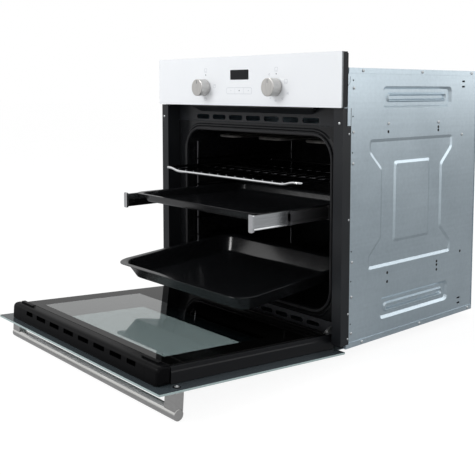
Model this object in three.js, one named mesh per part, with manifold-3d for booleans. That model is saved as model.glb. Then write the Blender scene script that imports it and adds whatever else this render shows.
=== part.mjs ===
// Built-in electric wall oven, 60 cm class, shown with its drop-down door open
// and its wire shelf, shallow tray and deep pan drawn out.
// Millimetres, +X to the right, +Y into the cabinet, +Z up.
// The origin is the middle of the niche floor, in the plane of the cabinet's front edge.
import * as THREE from "three";
import { mergeVertices } from "three/addons/utils/BufferGeometryUtils.js";
import Module from "manifold-3d";

const wasm = await Module();
wasm.setup();

// ---------------------------------------------------------------- driving dimensions

// Overall
const frontWidth = 595;
const frontHeight = 595;
const bodyDepth = 466; // cabinet's front edge to the rear panel
const frontProud = 31; // glass faces ahead of the cabinet's front edge
const seat = 0.3; // gap between pieces that touch

// Body box
const bodySideInset = 19.5; // front overhangs the body at each side
const bodyTopDrop = 30;
const bodyWidth = frontWidth - 2 * bodySideInset;
const bodyHeight = frontHeight - bodyTopDrop;
const sheet = 1; // galvanised sheet
const enamelSheet = 1.2; // enamelled sheet
const flangeDrop = 11; // folded edges of the top and bottom panels
const panelFold = 12; // folded edges of the side panels
const railWidth = 34;
const railHoleRadius = 1.8;
const railHoleInset = 26; // front of the rail to its row of holes
const railHoleRises = [49, 137, 198]; // underside of the body to the lower holes
const railHoleDrops = [25, 96, 168]; // top of the body to the upper holes
const topBeadWidth = 16;
const topBeadMargin = 60;
const topBeadFrontY = 150;
const topBeadRearGap = 176; // rear of the body to the second bead
const topBeadHeight = 2;
const ventPitch = 29;
const ventWidth = 7;
const ventLength = 36;
const ventRearMargin = 45;
const rearSlotPitch = 42;
const rearSlotLength = 30;
const rearSlotHeight = 7;
const rearSlotDrop = 150; // top of the body to the upper row
const rearRowPitch = 22;
const coverSideMargin = 11;
const coverWidth = bodyWidth - 2 * coverSideMargin;
const coverHeight = 166;
const coverBottomZ = 60;
const coverDepth = 10;
const coverDraft = 8;
const coverRim = 14;
const coverCorner = 12;
const terminalSideGap = 88; // side of the body to the middle of the terminal box
const terminalX = terminalSideGap - bodyWidth / 2;
const terminalDrop = 50; // top of the body to the middle of the terminal box
const terminalWidth = 78;
const terminalHeight = 52;
const terminalDepth = 24;
const terminalWall = 3;
const entryRadius = 8;
const entryNeckRadius = 11;
const entryNeckLength = 11;

// Pressed side panels
const gripFrontMargin = 120.5;
const gripRearMargin = 100.5;
const gripWidth = bodyDepth - gripFrontMargin - gripRearMargin;
const gripY = gripFrontMargin + gripWidth / 2;
const gripHeight = 46;
const gripDepth = 5; // outer face to the flat round the rolled rim
const gripDraft = 5.5;
const gripCorner = 10;
const gripDrop = 59; // top of the body to the middle of the upper grip
const gripUpperZ = bodyHeight - gripDrop;
const gripLowerZ = 63;
const gripRimMargin = 13; // mouth of the grip to the foot of the rim, above and below
const gripRimEndMargin = 17;
const gripRimRise = 3.6;
const gripRimDraft = 2.6;
const gripRimCrest = 1;
const gripRimCorner = 7;
const gripSlotDepth = 5.6; // crest of the rim to the floor of the finger slot
const gripSlotDraft = 3.2;
const embossFrontMargin = 83;
const embossRearMargin = 97;
const embossHalfWidth = (bodyDepth - embossFrontMargin - embossRearMargin) / 2;
const embossY = embossFrontMargin + embossHalfWidth;
const embossWaistInset = 38;
const embossWaist = embossHalfWidth - embossWaistInset;
const embossDrop = 147; // top of the body to the middle of the field's upper wall
const embossTopZ = bodyHeight - embossDrop;
const embossBottomZ = 155;
const embossShoulder = 24;
const embossSlope = 36;
const embossDraft = 6.5; // width of the sloping wall round the field
const embossDepth = 2;
const embossCorner = 5;
const innerEmbossSideInset = 82.5; // wall of the waisted field to the wall of the raised rectangle
const innerEmbossEndInset = 48;
const innerEmbossDraft = 6;
const innerEmbossWidth = 2 * (embossHalfWidth - innerEmbossSideInset);
const innerEmbossBottomZ = embossBottomZ + innerEmbossEndInset;
const innerEmbossTopZ = embossTopZ - innerEmbossEndInset;
const sideSlotLength = 12;
const sideSlotHeight = 4;
const sideSlotRearMargin = 54;
const sideSlotFirst = 24; // top or bottom of the body to the first slot
const sideSlotPitch = 12;

// Front frame
const faceSetback = 11; // recessed enamel face behind the cabinet's front edge
const columnWidth = 25.5;
const columnBottomZ = 17.5; // clear of the sweep of the opening glass
const doorBackGap = 3; // door glass to the columns
const lipThickness = 1.2;
const fixingDrop = 30; // control panel to the cabinet fixing hole
const fixingInset = 10.5; // side of the front to the fixing hole
const fixingHoleRadius = 3;
const bracketSheet = 1;
const bracketTongue = 9; // depth of the bracket at the column
const bracketNeck = 3; // depth of the bracket at the control panel
const bracketDrop = 35;
const bracketRise = 60;
const bracketShoulder = 48;
const bracketSlope = 6;
const tongueGap = 1; // bottom panel's tongue to the sweep of the glass
const hoodSetIn = 35; // side of the cavity to the end of the hood
const hoodDepth = 16;
const hoodHeight = 14;
const hoodLip = 2;
const hoodFlare = 18;

// Cavity
const cavitySideClearance = 43;
const cavityTopClearance = 138;
const cavityRearClearance = 56;
const cavityWidth = bodyWidth - 2 * cavitySideClearance;
const cavityFloorZ = 66;
const cavityCeilingZ = bodyHeight - cavityTopClearance;
const cavityBackY = bodyDepth - cavityRearClearance;
const cavityCorner = 48;
const beadOffset = 12; // opening edge to the crest of the pressed bead
const beadWidth = 8;
const beadHeight = 2.5;
const gasketOffset = 4;
const gasketDiameter = 5;
const flangeBelow = 18; // flange below the cavity floor
const flangeAbove = 21;
const flangeBottomZ = cavityFloorZ - flangeBelow;
const flangeTopZ = cavityCeilingZ + flangeAbove;
const upperSlots = 7;
const upperSlotMargin = 28.5;
const upperSlotWeb = 12; // bar between two slots
const upperSlotPitch = (cavityWidth - 2 * upperSlotMargin) / upperSlots;
const upperSlotHeight = 11;
const upperSlotRise = 10.5; // top of the cavity flange to the middle of the slots
const lowerSlots = 9;
const lowerSlotMargin = 34.5; // hinge to the end of the row of slots
const lowerSlotWeb = 9;
const lowerFirstRowZ = 15;
const lowerRowPitch = 19;
const lowerSlotHeight = 9;

// Convection fan, grill element and lamp
const fanRise = 1.5; // middle of the cavity to the fan's axis
const fanZ = (cavityFloorZ + cavityCeilingZ) / 2 + fanRise;
const fanPocketRadius = 92;
const fanPocketDepth = 22;
const fanGap = 18; // blades to the wall of the pocket
const fanRadius = fanPocketRadius - fanGap;
const fanBlades = 12;
const fanBladeRoot = 42;
const fanBladeDepth = 14;
const fanBladeTwist = 0.45; // radians
const fanHubRadius = 10;
const fanShaftRadius = 4;
const motorFlangeRadius = 34;
const motorStatorHalf = 28;
const motorBoreDepth = 14;
const fanCoverSide = 33; // cover beyond the pocket
const fanCoverRim = 4;
const fanCoverWidth = 2 * (fanPocketRadius + fanCoverSide);
const fanCoverHeight = 2 * (fanPocketRadius + fanCoverRim);
const fanCoverDepth = 8;
const fanCoverCorner = 18;
const fanCoverDraft = 6;
const intakeSlots = 16;
const intakeSlotRadius = 44; // middle of each radial slot
const intakeSlotLength = 36;
const intakeSlotWidth = 5;
const elementDiameter = 7;
const elementDrop = 16; // ceiling to the middle of the tube
const elementFrontY = 60;
const elementRearGap = 40;
const elementTerminalX = 30;
const elementInnerX = 40;
const elementSideGap = 55; // side of the cavity to the outer run
const elementPitch = (cavityWidth / 2 - elementSideGap - elementInnerX) / 2;
const elementInset = 50;
const elementBend = 22;
const elementPlateWidth = 84;
const elementPlateHeight = 20;
const lampRadius = 28;
const lampHeight = 16;
const lampSideGap = 70; // side of the cavity to the middle of the lamp
const lampDrop = 55;

// Door, measured closed
const panelHeight = 108; // control panel
const panelDoorGap = 3;
const bottomReveal = 34; // underside of the body to the bottom of the door glass
const doorOpenAngle = 86;
const hingeY = -3;
const hingeDrop = 38; // cavity floor to the hinge pin
const hingeZ = cavityFloorZ - hingeDrop;
const glassThickness = 4;
const doorFrameGap = 4; // door frame to the columns
const doorFrameWidth = frontWidth - 2 * (columnWidth + doorFrameGap);
const innerGlassThickness = 3.4;
const doorClearance = 2.6; // all the gaps between the outer glass and the seal
const doorLayers = glassThickness + innerGlassThickness + gasketDiameter + doorClearance;
const doorFrameDepth = frontProud + faceSetback - doorLayers;
const innerGlassInset = 7;
const innerGlassWidth = doorFrameWidth - 2 * innerGlassInset;
const innerGlassBottom = 26; // above the hinge pin
const doorFrameBottom = 8; // above the hinge pin
const sideProfileWidth = 13;
const sideProfileLip = 2;
const sideProfileStep = 1.5;
const trimOverhang = 16; // door glass above the trim
const trimHeight = 28;
const trimBehind = 6; // trim behind the inner glass
const trimDepth = doorFrameDepth + trimBehind;
const trimCorner = 12;
const trimCrown = 9;
const trimWall = 2;
const trimSlotHeight = 8.5;
const trimSlotDepthPlace = 22; // slots behind the outer glass
const capWidth = 38;
const longSlots = 6;
const longSlotMargin = 62; // end cap to the six long slots
const longSlotPitch = (doorFrameWidth - 2 * capWidth - 2 * longSlotMargin) / longSlots;
const trimSlotWeb = 19;
const longSlot = longSlotPitch - trimSlotWeb;
const shortSlot = 27;
const shortSlotMargin = 40; // end cap to the middle of a short slot
const shortSlotX = doorFrameWidth / 2 - capWidth - shortSlotMargin;
const capEdge = 7;
const clipInset = 16; // side of the door to the glass clip on the end cap
const clipLength = 49;
const clipHeight = 3.2;
const clipWidth = 8;

// Door hinges
const hingeInset = 22; // side of the door frame to the middle of the hinge
const hingeX = doorFrameWidth / 2 - hingeInset;
const lowerSlotPitch = (2 * (hingeX - lowerSlotMargin)) / lowerSlots;
const hingeSlotWidth = 11;
const hingeSlotHeight = 36;
const clawThickness = 6;
const clawEye = 7;
const clawReach = 14; // claw behind the front face
const clawRise = 14; // claw above the hinge pin
const clawHoleRadius = 3.4;
const hingeCaseWidth = 12;
const hingeCaseTop = 150; // above the hinge pin
const hingeCaseWall = 1.6;
const hingePinRadius = 3;
const hingeNose = 7;
const hingeThroat = 12;

// Handle
const handleDiameter = 20;
const handleStandoff = 37.7; // bar axis in front of the outer glass
const handleDrop = 41.5; // bar axis below the top of the door glass
const postWidth = 30;
const postHeight = 17;

// Control panel
const panelGlassThickness = 4;
const carrierDepth = 13.7;
const carrierFace = 2;
const carrierInset = 1;
const carrierWall = 5.5;
const carrierStep = 2.5;
const carrierRear = 5;
const controlRise = 40; // bottom of the panel to the knob axis
const knobX = 117;
const knobDiameter = 38;
const knobLength = 24;
const knobGap = 1;
const knobBevel = 1.2;
const knobDish = 0.6;
const spindleDiameter = 8;
const spindleLength = 12; // into the switch
const spindleHole = 12;
const switchRadius = 18;
const switchDepth = 14;
const thermostatWidth = 40;
const thermostatHeight = 32;
const displayWidth = 60;
const displayHeight = 21;
const displayX = 2;
const displayRise = 67.5; // bottom of the panel to the middle of the display
const boxFlange = 15; // edge round the control box's open front
const boxSideFlange = 40;

// Racks
const rackSideGap = 12;
const rackX = cavityWidth / 2 - rackSideGap;
const rackWire = 4;
const rackPostWire = 5;
const rackPostInset = 10;
const rackStubDiameter = 8;
const rackStubGap = 6;
const rackFrontY = 24;
const rackRearGap = 38;
const rackRearY = cavityBackY - rackRearGap;
const rackFootroom = 79.7; // cavity floor to the top of the lowest support wire
const rackBaseZ = cavityFloorZ + rackFootroom;
const rackHeadroom = 92.3; // top support wire to the ceiling
const rackLevels = 4;
const rackPitch = (cavityCeilingZ - rackHeadroom - rackBaseZ) / (rackLevels - 1);
const rackGuideGap = 16; // clear height between a support wire and its guard wire
const panLevel = 0;
const trayLevel = 2;
const shelfLevel = 3;

// Wire shelf
const shelfWire = 6;
const shelfBarWire = 3;
const shelfCrossWire = 4;
const shelfBars = 13;
const shelfSideGap = 2;
const shelfBarMargin = 47; // side of the shelf to the outermost bar
const shelfBarPitch = (2 * (rackX - shelfSideGap - shelfBarMargin)) / (shelfBars - 1);
const shelfStoredY = 31;
const shelfRearGap = 29;
const shelfDepth = cavityBackY - shelfRearGap - shelfStoredY;
const shelfTravel = 100;
const shelfStep = 6; // the middle of the front wire hangs below its ends
const shelfStepLength = 24;
const shelfEndLength = 20;
const shelfBend = 9;

// Telescopic runners and shallow tray
const runnerDrop = 15.7; // support wire to the underside of the runner
const runnerBottomZ = rackBaseZ + trayLevel * rackPitch - runnerDrop;
const runnerHeight = 29;
const runnerStoredY = 21;
const runnerRearGap = 44;
const runnerLength = cavityBackY - runnerRearGap - runnerStoredY;
const runnerWidth = 13;
const runnerSheet = 1.2;
const runnerLipGap = 1; // between the lips of the outer and inner channels
const runnerLip = (runnerWidth - runnerLipGap) / 2;
const runnerFoot = 5;
const runnerWeb = 2;
const runnerHook = 12;
const capThickness = 4;
const capHeight = 34.5;
const traySideGap = 9; // tray rim to the middle of the support wires
const trayRimHalfWidth = rackX - traySideGap;
const trayStoredY = 36;
const trayRearGap = 36;
const trayDepth = cavityBackY - trayRearGap - trayStoredY;
const trayHeight = 19;
const trayRim = 11;
const trayDraft = 9;
const trayCorner = 30;
const trayTravel = 205;

// Deep pan
const panBearing = 0.5; // rim past the middle of the support wires
const panRimHalfWidth = rackX + panBearing;
const panStoredY = 62;
const panRearGap = 6;
const panLength = cavityBackY - panRearGap - panStoredY;
const panLift = 2.8; // support wire to the underside of the rim, pushed in
const panRimZ = rackBaseZ + panLevel * rackPitch + panLift;
const panHeight = 37;
const panRim = 13;
const panDraft = 20; // how far the walls lean in
const panCorner = 42;
const panTravel = 280;
const panTilt = 4.5; // degrees, nose down when drawn out
const rimThickness = 1.2;
const floorBend = 4; // rounded foot of a pressed pan

// ---------------------------------------------------------------- shape helpers

const rad = THREE.MathUtils.degToRad;
const v2 = (x, y) => new THREE.Vector2(x, y);
const v3 = (x, y, z) => new THREE.Vector3(x, y, z);

// A closed triangle mesh as a manifold solid.
function solidOf(geometry) {
  const bare = new THREE.BufferGeometry();
  bare.setAttribute("position", geometry.getAttribute("position").clone());
  if (geometry.index) bare.setIndex(geometry.index.clone());
  const merged = mergeVertices(bare, 1e-4);
  return new wasm.Manifold(
    new wasm.Mesh({
      numProp: 3,
      vertProperties: new Float32Array(merged.attributes.position.array),
      triVerts: new Uint32Array(merged.index.array),
    }),
  );
}

// How far cutting and joining shapes run past the faces they cross.
const overlap = 1;

// A manifold solid as a flat-shaded geometry.
function geometryOf(solid) {
  const mesh = solid.getMesh();
  const geometry = new THREE.BufferGeometry();
  geometry.setAttribute("position", new THREE.BufferAttribute(mesh.vertProperties.slice(), 3));
  geometry.setIndex(new THREE.BufferAttribute(mesh.triVerts.slice(), 1));
  return geometry;
}

const join = (first, ...rest) => geometryOf(rest.reduce((a, b) => a.add(solidOf(b)), solidOf(first)));
const cut = (first, ...rest) => geometryOf(rest.reduce((a, b) => a.subtract(solidOf(b)), solidOf(first)));

// A box between two corners.
function box(x0, x1, y0, y1, z0, z1) {
  const geometry = new THREE.BoxGeometry(x1 - x0, y1 - y0, z1 - z0);
  return geometry.translate((x0 + x1) / 2, (y0 + y1) / 2, (z0 + z1) / 2);
}

// Outline points of a rounded rectangle, anticlockwise, with `steps` chords at each corner.
function roundedRect(cx, cy, width, height, radius, steps = 4) {
  const points = [];
  for (let corner = 0; corner < 4; corner++) {
    const sx = corner === 0 || corner === 3 ? 1 : -1;
    const sy = corner < 2 ? 1 : -1;
    const mx = cx + sx * (width / 2 - radius);
    const my = cy + sy * (height / 2 - radius);
    for (let i = 0; i <= steps; i++) {
      const angle = ((corner + i / steps) * Math.PI) / 2;
      points.push(v2(mx + radius * Math.cos(angle), my + radius * Math.sin(angle)));
    }
  }
  return points;
}

// Corner points joined by straight runs, each corner rounded to `radius`.
function roundedLoop(corners, radius, steps = 3) {
  const points = [];
  corners.forEach((corner, i) => {
    const before = corners[(i + corners.length - 1) % corners.length];
    const after = corners[(i + 1) % corners.length];
    const back = before.clone().sub(corner);
    const on = after.clone().sub(corner);
    const half = Math.min(back.length(), on.length()) / 2;
    const turn = Math.min(radius, half * 0.95);
    const start = corner.clone().addScaledVector(back.normalize(), turn);
    const end = corner.clone().addScaledVector(on.normalize(), turn);
    const curve = new THREE.QuadraticBezierCurve(start, corner, end);
    points.push(...curve.getPoints(steps));
  });
  return points;
}

// The loop moved sideways by `distance`, outwards for an anticlockwise loop.
function offsetLoop(points, distance) {
  const count = points.length;
  return points.map((point, i) => {
    const before = points[(i + count - 1) % count];
    const after = points[(i + 1) % count];
    const a = point.clone().sub(before).normalize();
    const b = after.clone().sub(point).normalize();
    const along = a.clone().add(b).normalize();
    const normal = v2(along.y, -along.x);
    const mitre = Math.max(0.5, Math.sqrt((1 + a.dot(b)) / 2));
    return point.clone().addScaledVector(normal, distance / mitre);
  });
}

function shapeOf(points, holes = []) {
  const shape = new THREE.Shape(points);
  shape.holes = holes.map((hole) => new THREE.Path(hole));
  return shape;
}

// An outline extruded along an axis. alongX reads (y, z), alongY reads (x, z), alongZ reads (x, y).
function extrude(points, depth, holes) {
  return new THREE.ExtrudeGeometry(shapeOf(points, holes), { depth, bevelEnabled: false, curveSegments: 6 });
}
const toX = new THREE.Matrix4().makeBasis(v3(0, 1, 0), v3(0, 0, 1), v3(1, 0, 0));
const toY = new THREE.Matrix4().makeBasis(v3(1, 0, 0), v3(0, 0, 1), v3(0, -1, 0));
function alongX(points, x0, x1, holes) {
  return extrude(points, x1 - x0, holes).applyMatrix4(toX).translate(x0, 0, 0);
}
function alongY(points, y0, y1, holes) {
  return extrude(points, y1 - y0, holes).applyMatrix4(toY).translate(0, y1, 0);
}
function alongZ(points, z0, z1, holes) {
  return extrude(points, z1 - z0, holes).translate(0, 0, z0);
}

// The geometry with its faces turned outwards.
function outward(geometry) {
  const position = geometry.getAttribute("position");
  const index = geometry.index.array;
  const corner = (i) => v3().fromBufferAttribute(position, index[i]);
  let volume = 0;
  for (let i = 0; i < index.length; i += 3) volume += corner(i).dot(corner(i + 1).cross(corner(i + 2)));
  if (volume < 0) geometry.setIndex(Array.from(index).reverse());
  return geometry;
}

// A closed skin over rings of equal point counts, capped at the first and last ring.
function loft(rings) {
  const count = rings[0].length;
  const positions = rings.flat().flatMap((p) => [p.x, p.y, p.z]);
  const index = [];
  for (let r = 0; r + 1 < rings.length; r++) {
    for (let i = 0; i < count; i++) {
      const j = (i + 1) % count;
      const a = r * count + i;
      const b = r * count + j;
      index.push(a, b, b + count, a, b + count, a + count);
    }
  }
  const flatten = (ring) => {
    const normal = v3(0, 0, 0);
    ring.forEach((p, i) => normal.add(p.clone().cross(ring[(i + 1) % count])));
    normal.normalize();
    const side = ring[1].clone().sub(ring[0]).normalize();
    const up = normal.clone().cross(side);
    return ring.map((p) => v2(p.dot(side), p.dot(up)));
  };
  const capFaces = (ring) => THREE.ShapeUtils.triangulateShape(flatten(ring), []);
  const last = (rings.length - 1) * count;
  for (const [a, b, c] of capFaces(rings[0])) index.push(a, c, b);
  for (const [a, b, c] of capFaces(rings[rings.length - 1])) index.push(last + a, last + b, last + c);
  const geometry = new THREE.BufferGeometry();
  geometry.setAttribute("position", new THREE.Float32BufferAttribute(positions, 3));
  geometry.setIndex(index);
  return outward(geometry);
}

// A ridge or groove of the given cross section carried round a loop in the XZ or YZ plane.
// Each section point is [sideways offset from the loop, height off the plane].
function ridge(loop, section, place) {
  const rings = section.map(([side, height]) => offsetLoop(loop, side).map((p) => place(p, height)));
  const count = loop.length;
  const positions = rings.flat().flatMap((p) => [p.x, p.y, p.z]);
  const index = [];
  for (let r = 0; r < rings.length; r++) {
    const next = (r + 1) % rings.length;
    for (let i = 0; i < count; i++) {
      const j = (i + 1) % count;
      index.push(r * count + i, r * count + j, next * count + j);
      index.push(r * count + i, next * count + j, next * count + i);
    }
  }
  const geometry = new THREE.BufferGeometry();
  geometry.setAttribute("position", new THREE.Float32BufferAttribute(positions, 3));
  geometry.setIndex(index);
  return outward(geometry);
}

// A round bar through a list of points, with flat ends.
function bar(points, diameter, sides = 8) {
  const frames = [];
  let normal = null;
  points.forEach((point, i) => {
    const before = points[Math.max(0, i - 1)];
    const after = points[Math.min(points.length - 1, i + 1)];
    const tangent = after.clone().sub(before).normalize();
    if (!normal) normal = Math.abs(tangent.z) < 0.9 ? v3(0, 0, 1) : v3(0, 1, 0);
    normal = normal.clone().addScaledVector(tangent, -normal.dot(tangent)).normalize();
    frames.push([point, tangent, normal.clone()]);
  });
  return loft(
    frames.map(([point, tangent, up]) => {
      const side = tangent.clone().cross(up);
      return Array.from({ length: sides }, (_, k) => {
        const angle = ((k + 0.5) * 2 * Math.PI) / sides;
        return point
          .clone()
          .addScaledVector(up, (Math.cos(angle) * diameter) / 2)
          .addScaledVector(side, (-Math.sin(angle) * diameter) / 2);
      });
    }),
  );
}

// A cylinder between two points on a line parallel to an axis.
function rod(axis, from, to, a, b, radius, sides = 16) {
  const geometry = new THREE.CylinderGeometry(radius, radius, to - from, sides);
  geometry.translate(0, (from + to) / 2, 0);
  if (axis === "x") return geometry.rotateZ(-Math.PI / 2).translate(0, a, b);
  if (axis === "y") return geometry.translate(a, 0, b);
  return geometry.rotateX(Math.PI / 2).translate(a, b, 0);
}

// Points along a path whose inner corners are rounded.
function bentPath(corners, radius, steps = 3) {
  const points = [corners[0]];
  for (let i = 1; i + 1 < corners.length; i++) {
    const back = corners[i - 1].clone().sub(corners[i]);
    const on = corners[i + 1].clone().sub(corners[i]);
    const turn = Math.min(radius, back.length() / 2.1, on.length() / 2.1);
    const start = corners[i].clone().addScaledVector(back.normalize(), turn);
    const end = corners[i].clone().addScaledVector(on.normalize(), turn);
    points.push(...new THREE.QuadraticBezierCurve3(start, corners[i], end).getPoints(steps));
  }
  points.push(corners[corners.length - 1]);
  return points;
}

// A geometry mirrored in the YZ plane, with its faces turned back outwards.
function mirrored(geometry) {
  const copy = geometry.index ? geometry.toNonIndexed() : geometry.clone();
  copy.scale(-1, 1, 1);
  const position = copy.getAttribute("position");
  for (let i = 0; i < position.count; i += 3) {
    const a = v3().fromBufferAttribute(position, i + 1);
    const b = v3().fromBufferAttribute(position, i + 2);
    position.setXYZ(i + 1, b.x, b.y, b.z);
    position.setXYZ(i + 2, a.x, a.y, a.z);
  }
  return copy;
}

// ---------------------------------------------------------------- materials

const finish = (color, roughness, metalness, extra = {}) =>
  new THREE.MeshStandardMaterial({ color, roughness, metalness, ...extra });
const galvanised = finish(0xaeb8be, 0.4, 0.9);
const blackEnamel = finish(0x15171a, 0.25, 0.1);
const cavityEnamel = finish(0x101113, 0.2, 0.1);
const panEnamel = finish(0x1b1c1f, 0.22, 0.1);
const chrome = finish(0xd8dadc, 0.12, 1);
const stainless = finish(0xb9b6b0, 0.32, 0.95);
const whiteGlass = finish(0xf4f5f6, 0.06, 0);
const clearGlass = finish(0x6d7a7a, 0.04, 0, { transparent: true, opacity: 0.4 });
const blackGlass = finish(0x0b0c0d, 0.08, 0);
const blackPlastic = finish(0x17181a, 0.5, 0);
const hingeSteel = finish(0xa9acae, 0.4, 0.9);
const castMetal = finish(0x8b8f92, 0.5, 0.8);
const elementSheath = finish(0x6e6a66, 0.35, 0.9);
const ropeSeal = finish(0x3a3b3d, 0.9, 0);

const oven = new THREE.Group();
oven.name = "wall_oven";

// Adds one named piece to a group.
function piece(parent, name, geometry, material) {
  const mesh = new THREE.Mesh(geometry, material);
  mesh.name = name;
  parent.add(mesh);
}

// Adds a left and right pair, modelled on the right (+X) side.
function pair(parent, name, geometry, material) {
  piece(parent, `${name}_right`, geometry, material);
  piece(parent, `${name}_left`, mirrored(geometry), material);
}

// ---------------------------------------------------------------- shared places

const glassFaceY = -frontProud;
const halfFront = frontWidth / 2;
const halfBody = bodyWidth / 2;
const faceY = faceSetback;
const faceBackY = faceY + enamelSheet;
const shellFrontY = faceBackY + seat;
const columnFrontY = glassFaceY + glassThickness + doorBackGap;
const columnInnerX = halfFront - columnWidth;
const columnOuterX = halfFront - bracketSheet - 2 * seat;
const faceHalfWidth = columnInnerX - seat;
const panelBottomZ = frontHeight - panelHeight;
const sideOuterX = halfBody - sheet - seat;
const sideInnerX = sideOuterX - sheet;
const controlAxisZ = panelBottomZ + controlRise;
const displayZ = panelBottomZ + displayRise;
const carrierFrontY = glassFaceY + panelGlassThickness + seat;
const carrierPlateY = carrierFrontY + carrierFace;
const carrierBackY = carrierFrontY + carrierDepth;
const carrierRearY = carrierBackY + carrierRear;

// ---------------------------------------------------------------- body shell

// A form pressed into the side panel: the outline for each level's inset, held at the level's
// height above the outer face, from the deepest level outwards.
function pressedForm(outline, levels) {
  return loft(levels.map(([inset, height]) => outline(inset).map((p) => v3(sideOuterX + height, p.x, p.y))));
}

// Rounded rectangles in (y, z) one inside the other, with corners that shrink with the height.
function nested(y, z, width, height, corner) {
  return (inset) => {
    const inner = height - 2 * inset;
    return roundedRect(y, z, width - 2 * inset, inner, (corner * inner) / height, 3);
  };
}

// A hand grip: a shallow recess round a rolled rim, with the finger slot pressed in behind the rim.
function handGrip(z) {
  const crest = gripRimRise - gripDepth;
  const mouth = nested(gripY, z, gripWidth, gripHeight, gripCorner);
  const footWidth = gripWidth - 2 * gripRimEndMargin;
  const foot = nested(gripY, z, footWidth, gripHeight - 2 * gripRimMargin, gripRimCorner);
  const recess = pressedForm(mouth, [[gripDraft, -gripDepth], [0, 0], [0, overlap]]);
  const rim = pressedForm(foot, [[0, -gripDepth - overlap], [0, -gripDepth], [gripRimDraft, crest]]);
  const slotInset = gripRimDraft + gripRimCrest;
  const floor = [slotInset + gripSlotDraft, crest - gripSlotDepth];
  const slot = pressedForm(foot, [floor, [slotInset, crest], [slotInset, crest + overlap]]);
  return join(cut(recess, rim), slot);
}

// Side panel: galvanised sheet with two pressed hand grips and a waisted field pressed in,
// in which an upright rectangle stays at the face. Its front and rear edges are folded inwards.
function sidePanel() {
  const bottom = sheet + seat;
  const top = bodyHeight - sheet - seat;
  const rear = bodyDepth - sheet - seat;
  const deepest = Math.max(gripDepth - gripRimRise + gripSlotDepth, gripDepth, embossDepth);
  const block = box(sideOuterX - deepest - sheet - overlap, sideOuterX, shellFrontY, rear, bottom, top);
  const grips = [gripUpperZ, gripLowerZ].map(handGrip);
  const outline = [
    [embossHalfWidth, embossTopZ],
    [-embossHalfWidth, embossTopZ],
    [-embossHalfWidth, embossTopZ - embossShoulder],
    [-embossWaist, embossTopZ - embossShoulder - embossSlope],
    [-embossWaist, embossBottomZ + embossShoulder + embossSlope],
    [-embossHalfWidth, embossBottomZ + embossShoulder],
    [-embossHalfWidth, embossBottomZ],
    [embossHalfWidth, embossBottomZ],
    [embossHalfWidth, embossBottomZ + embossShoulder],
    [embossWaist, embossBottomZ + embossShoulder + embossSlope],
    [embossWaist, embossTopZ - embossShoulder - embossSlope],
    [embossHalfWidth, embossTopZ - embossShoulder],
  ].map(([y, z]) => v2(embossY + y, z));
  const innerHeight = innerEmbossTopZ - innerEmbossBottomZ;
  const innerMid = (innerEmbossTopZ + innerEmbossBottomZ) / 2;
  const inner = nested(embossY, innerMid, innerEmbossWidth, innerHeight, embossCorner);
  const waisted = roundedLoop(outline, embossCorner, 2);
  const wall = embossDraft / 2;
  const innerWall = innerEmbossDraft / 2;
  const sunk = pressedForm((inset) => offsetLoop(waisted, -inset), [
    [wall, -embossDepth],
    [-wall, 0],
    [-wall, overlap],
  ]);
  const raised = pressedForm(inner, [
    [-innerWall, -embossDepth - overlap],
    [-innerWall, -embossDepth],
    [innerWall, 0],
    [innerWall, 2 * overlap],
  ]);
  const pressed = cut(block, ...grips, cut(sunk, raised));
  const skin = cut(pressed, pressed.clone().translate(-sheet, 0, 0));
  const fold = (y) => box(sideOuterX - panelFold, sideOuterX - sheet / 2, y, y + sheet, bottom, top);
  const slotY = bodyDepth - sideSlotRearMargin;
  const slots = [0, 1].flatMap((row) => {
    const margin = sideSlotFirst + row * sideSlotPitch;
    return [margin, bodyHeight - margin].map((z) => {
      const slot = roundedRect(slotY, z, sideSlotLength, sideSlotHeight, 0.4 * sideSlotHeight, 1);
      return alongX(slot, sideInnerX - overlap, sideOuterX + overlap);
    });
  });
  return cut(join(skin, fold(shellFrontY), fold(rear - sheet)), ...slots);
}
pair(oven, "side_panel", sidePanel(), galvanised);

// Upright corner rail over the front edge of the side panel, with its row of screw holes.
function cornerRail() {
  const bottom = flangeDrop + 2 * overlap;
  const top = bodyHeight - flangeDrop - 2 * overlap;
  const strip = box(sideOuterX + seat, sideOuterX + seat + sheet, seat, seat + railWidth, bottom, top);
  const places = [...railHoleRises, ...railHoleDrops.map((drop) => bodyHeight - drop)];
  const hole = (z) => rod("x", sideOuterX, halfBody + overlap, railHoleInset, z, railHoleRadius, 8);
  return cut(strip, ...places.map(hole));
}
pair(oven, "corner_rail", cornerRail(), galvanised);

// Section, in (x, z), of a flat panel with both edges folded over the side panels.
function foldedSection(outerZ, inwards) {
  const inner = outerZ + inwards * sheet;
  const edge = outerZ + inwards * flangeDrop;
  const inside = halfBody - sheet;
  const half = [v2(halfBody, outerZ), v2(halfBody, edge), v2(inside, edge), v2(inside, inner)];
  return [...half, ...half.map((p) => v2(-p.x, p.y)).reverse()];
}

// Top panel: flat sheet with both long edges folded down over the side panels,
// two pressed stiffening beads and a row of vent slots near the back.
function topPanel() {
  const rear = bodyDepth - sheet - seat;
  const top = bodyHeight;
  const plate = alongY(foldedSection(top, -1), shellFrontY, rear);
  const bead = (y) => {
    const outline = roundedRect(0, y, bodyWidth - 2 * topBeadMargin, topBeadWidth, topBeadWidth * 0.44, 3);
    return alongZ(outline, top - sheet / 2, top + topBeadHeight);
  };
  const vents = [];
  for (let i = -6; i <= 6; i++) {
    const vent = roundedRect(i * ventPitch, rear - ventRearMargin, ventWidth, ventLength, ventWidth * 0.4, 1);
    vents.push(alongZ(vent, top - sheet - overlap, top + topBeadHeight));
  }
  return cut(join(plate, bead(topBeadFrontY), bead(bodyDepth - topBeadRearGap)), ...vents);
}
piece(oven, "top_panel", topPanel(), galvanised);

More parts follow.
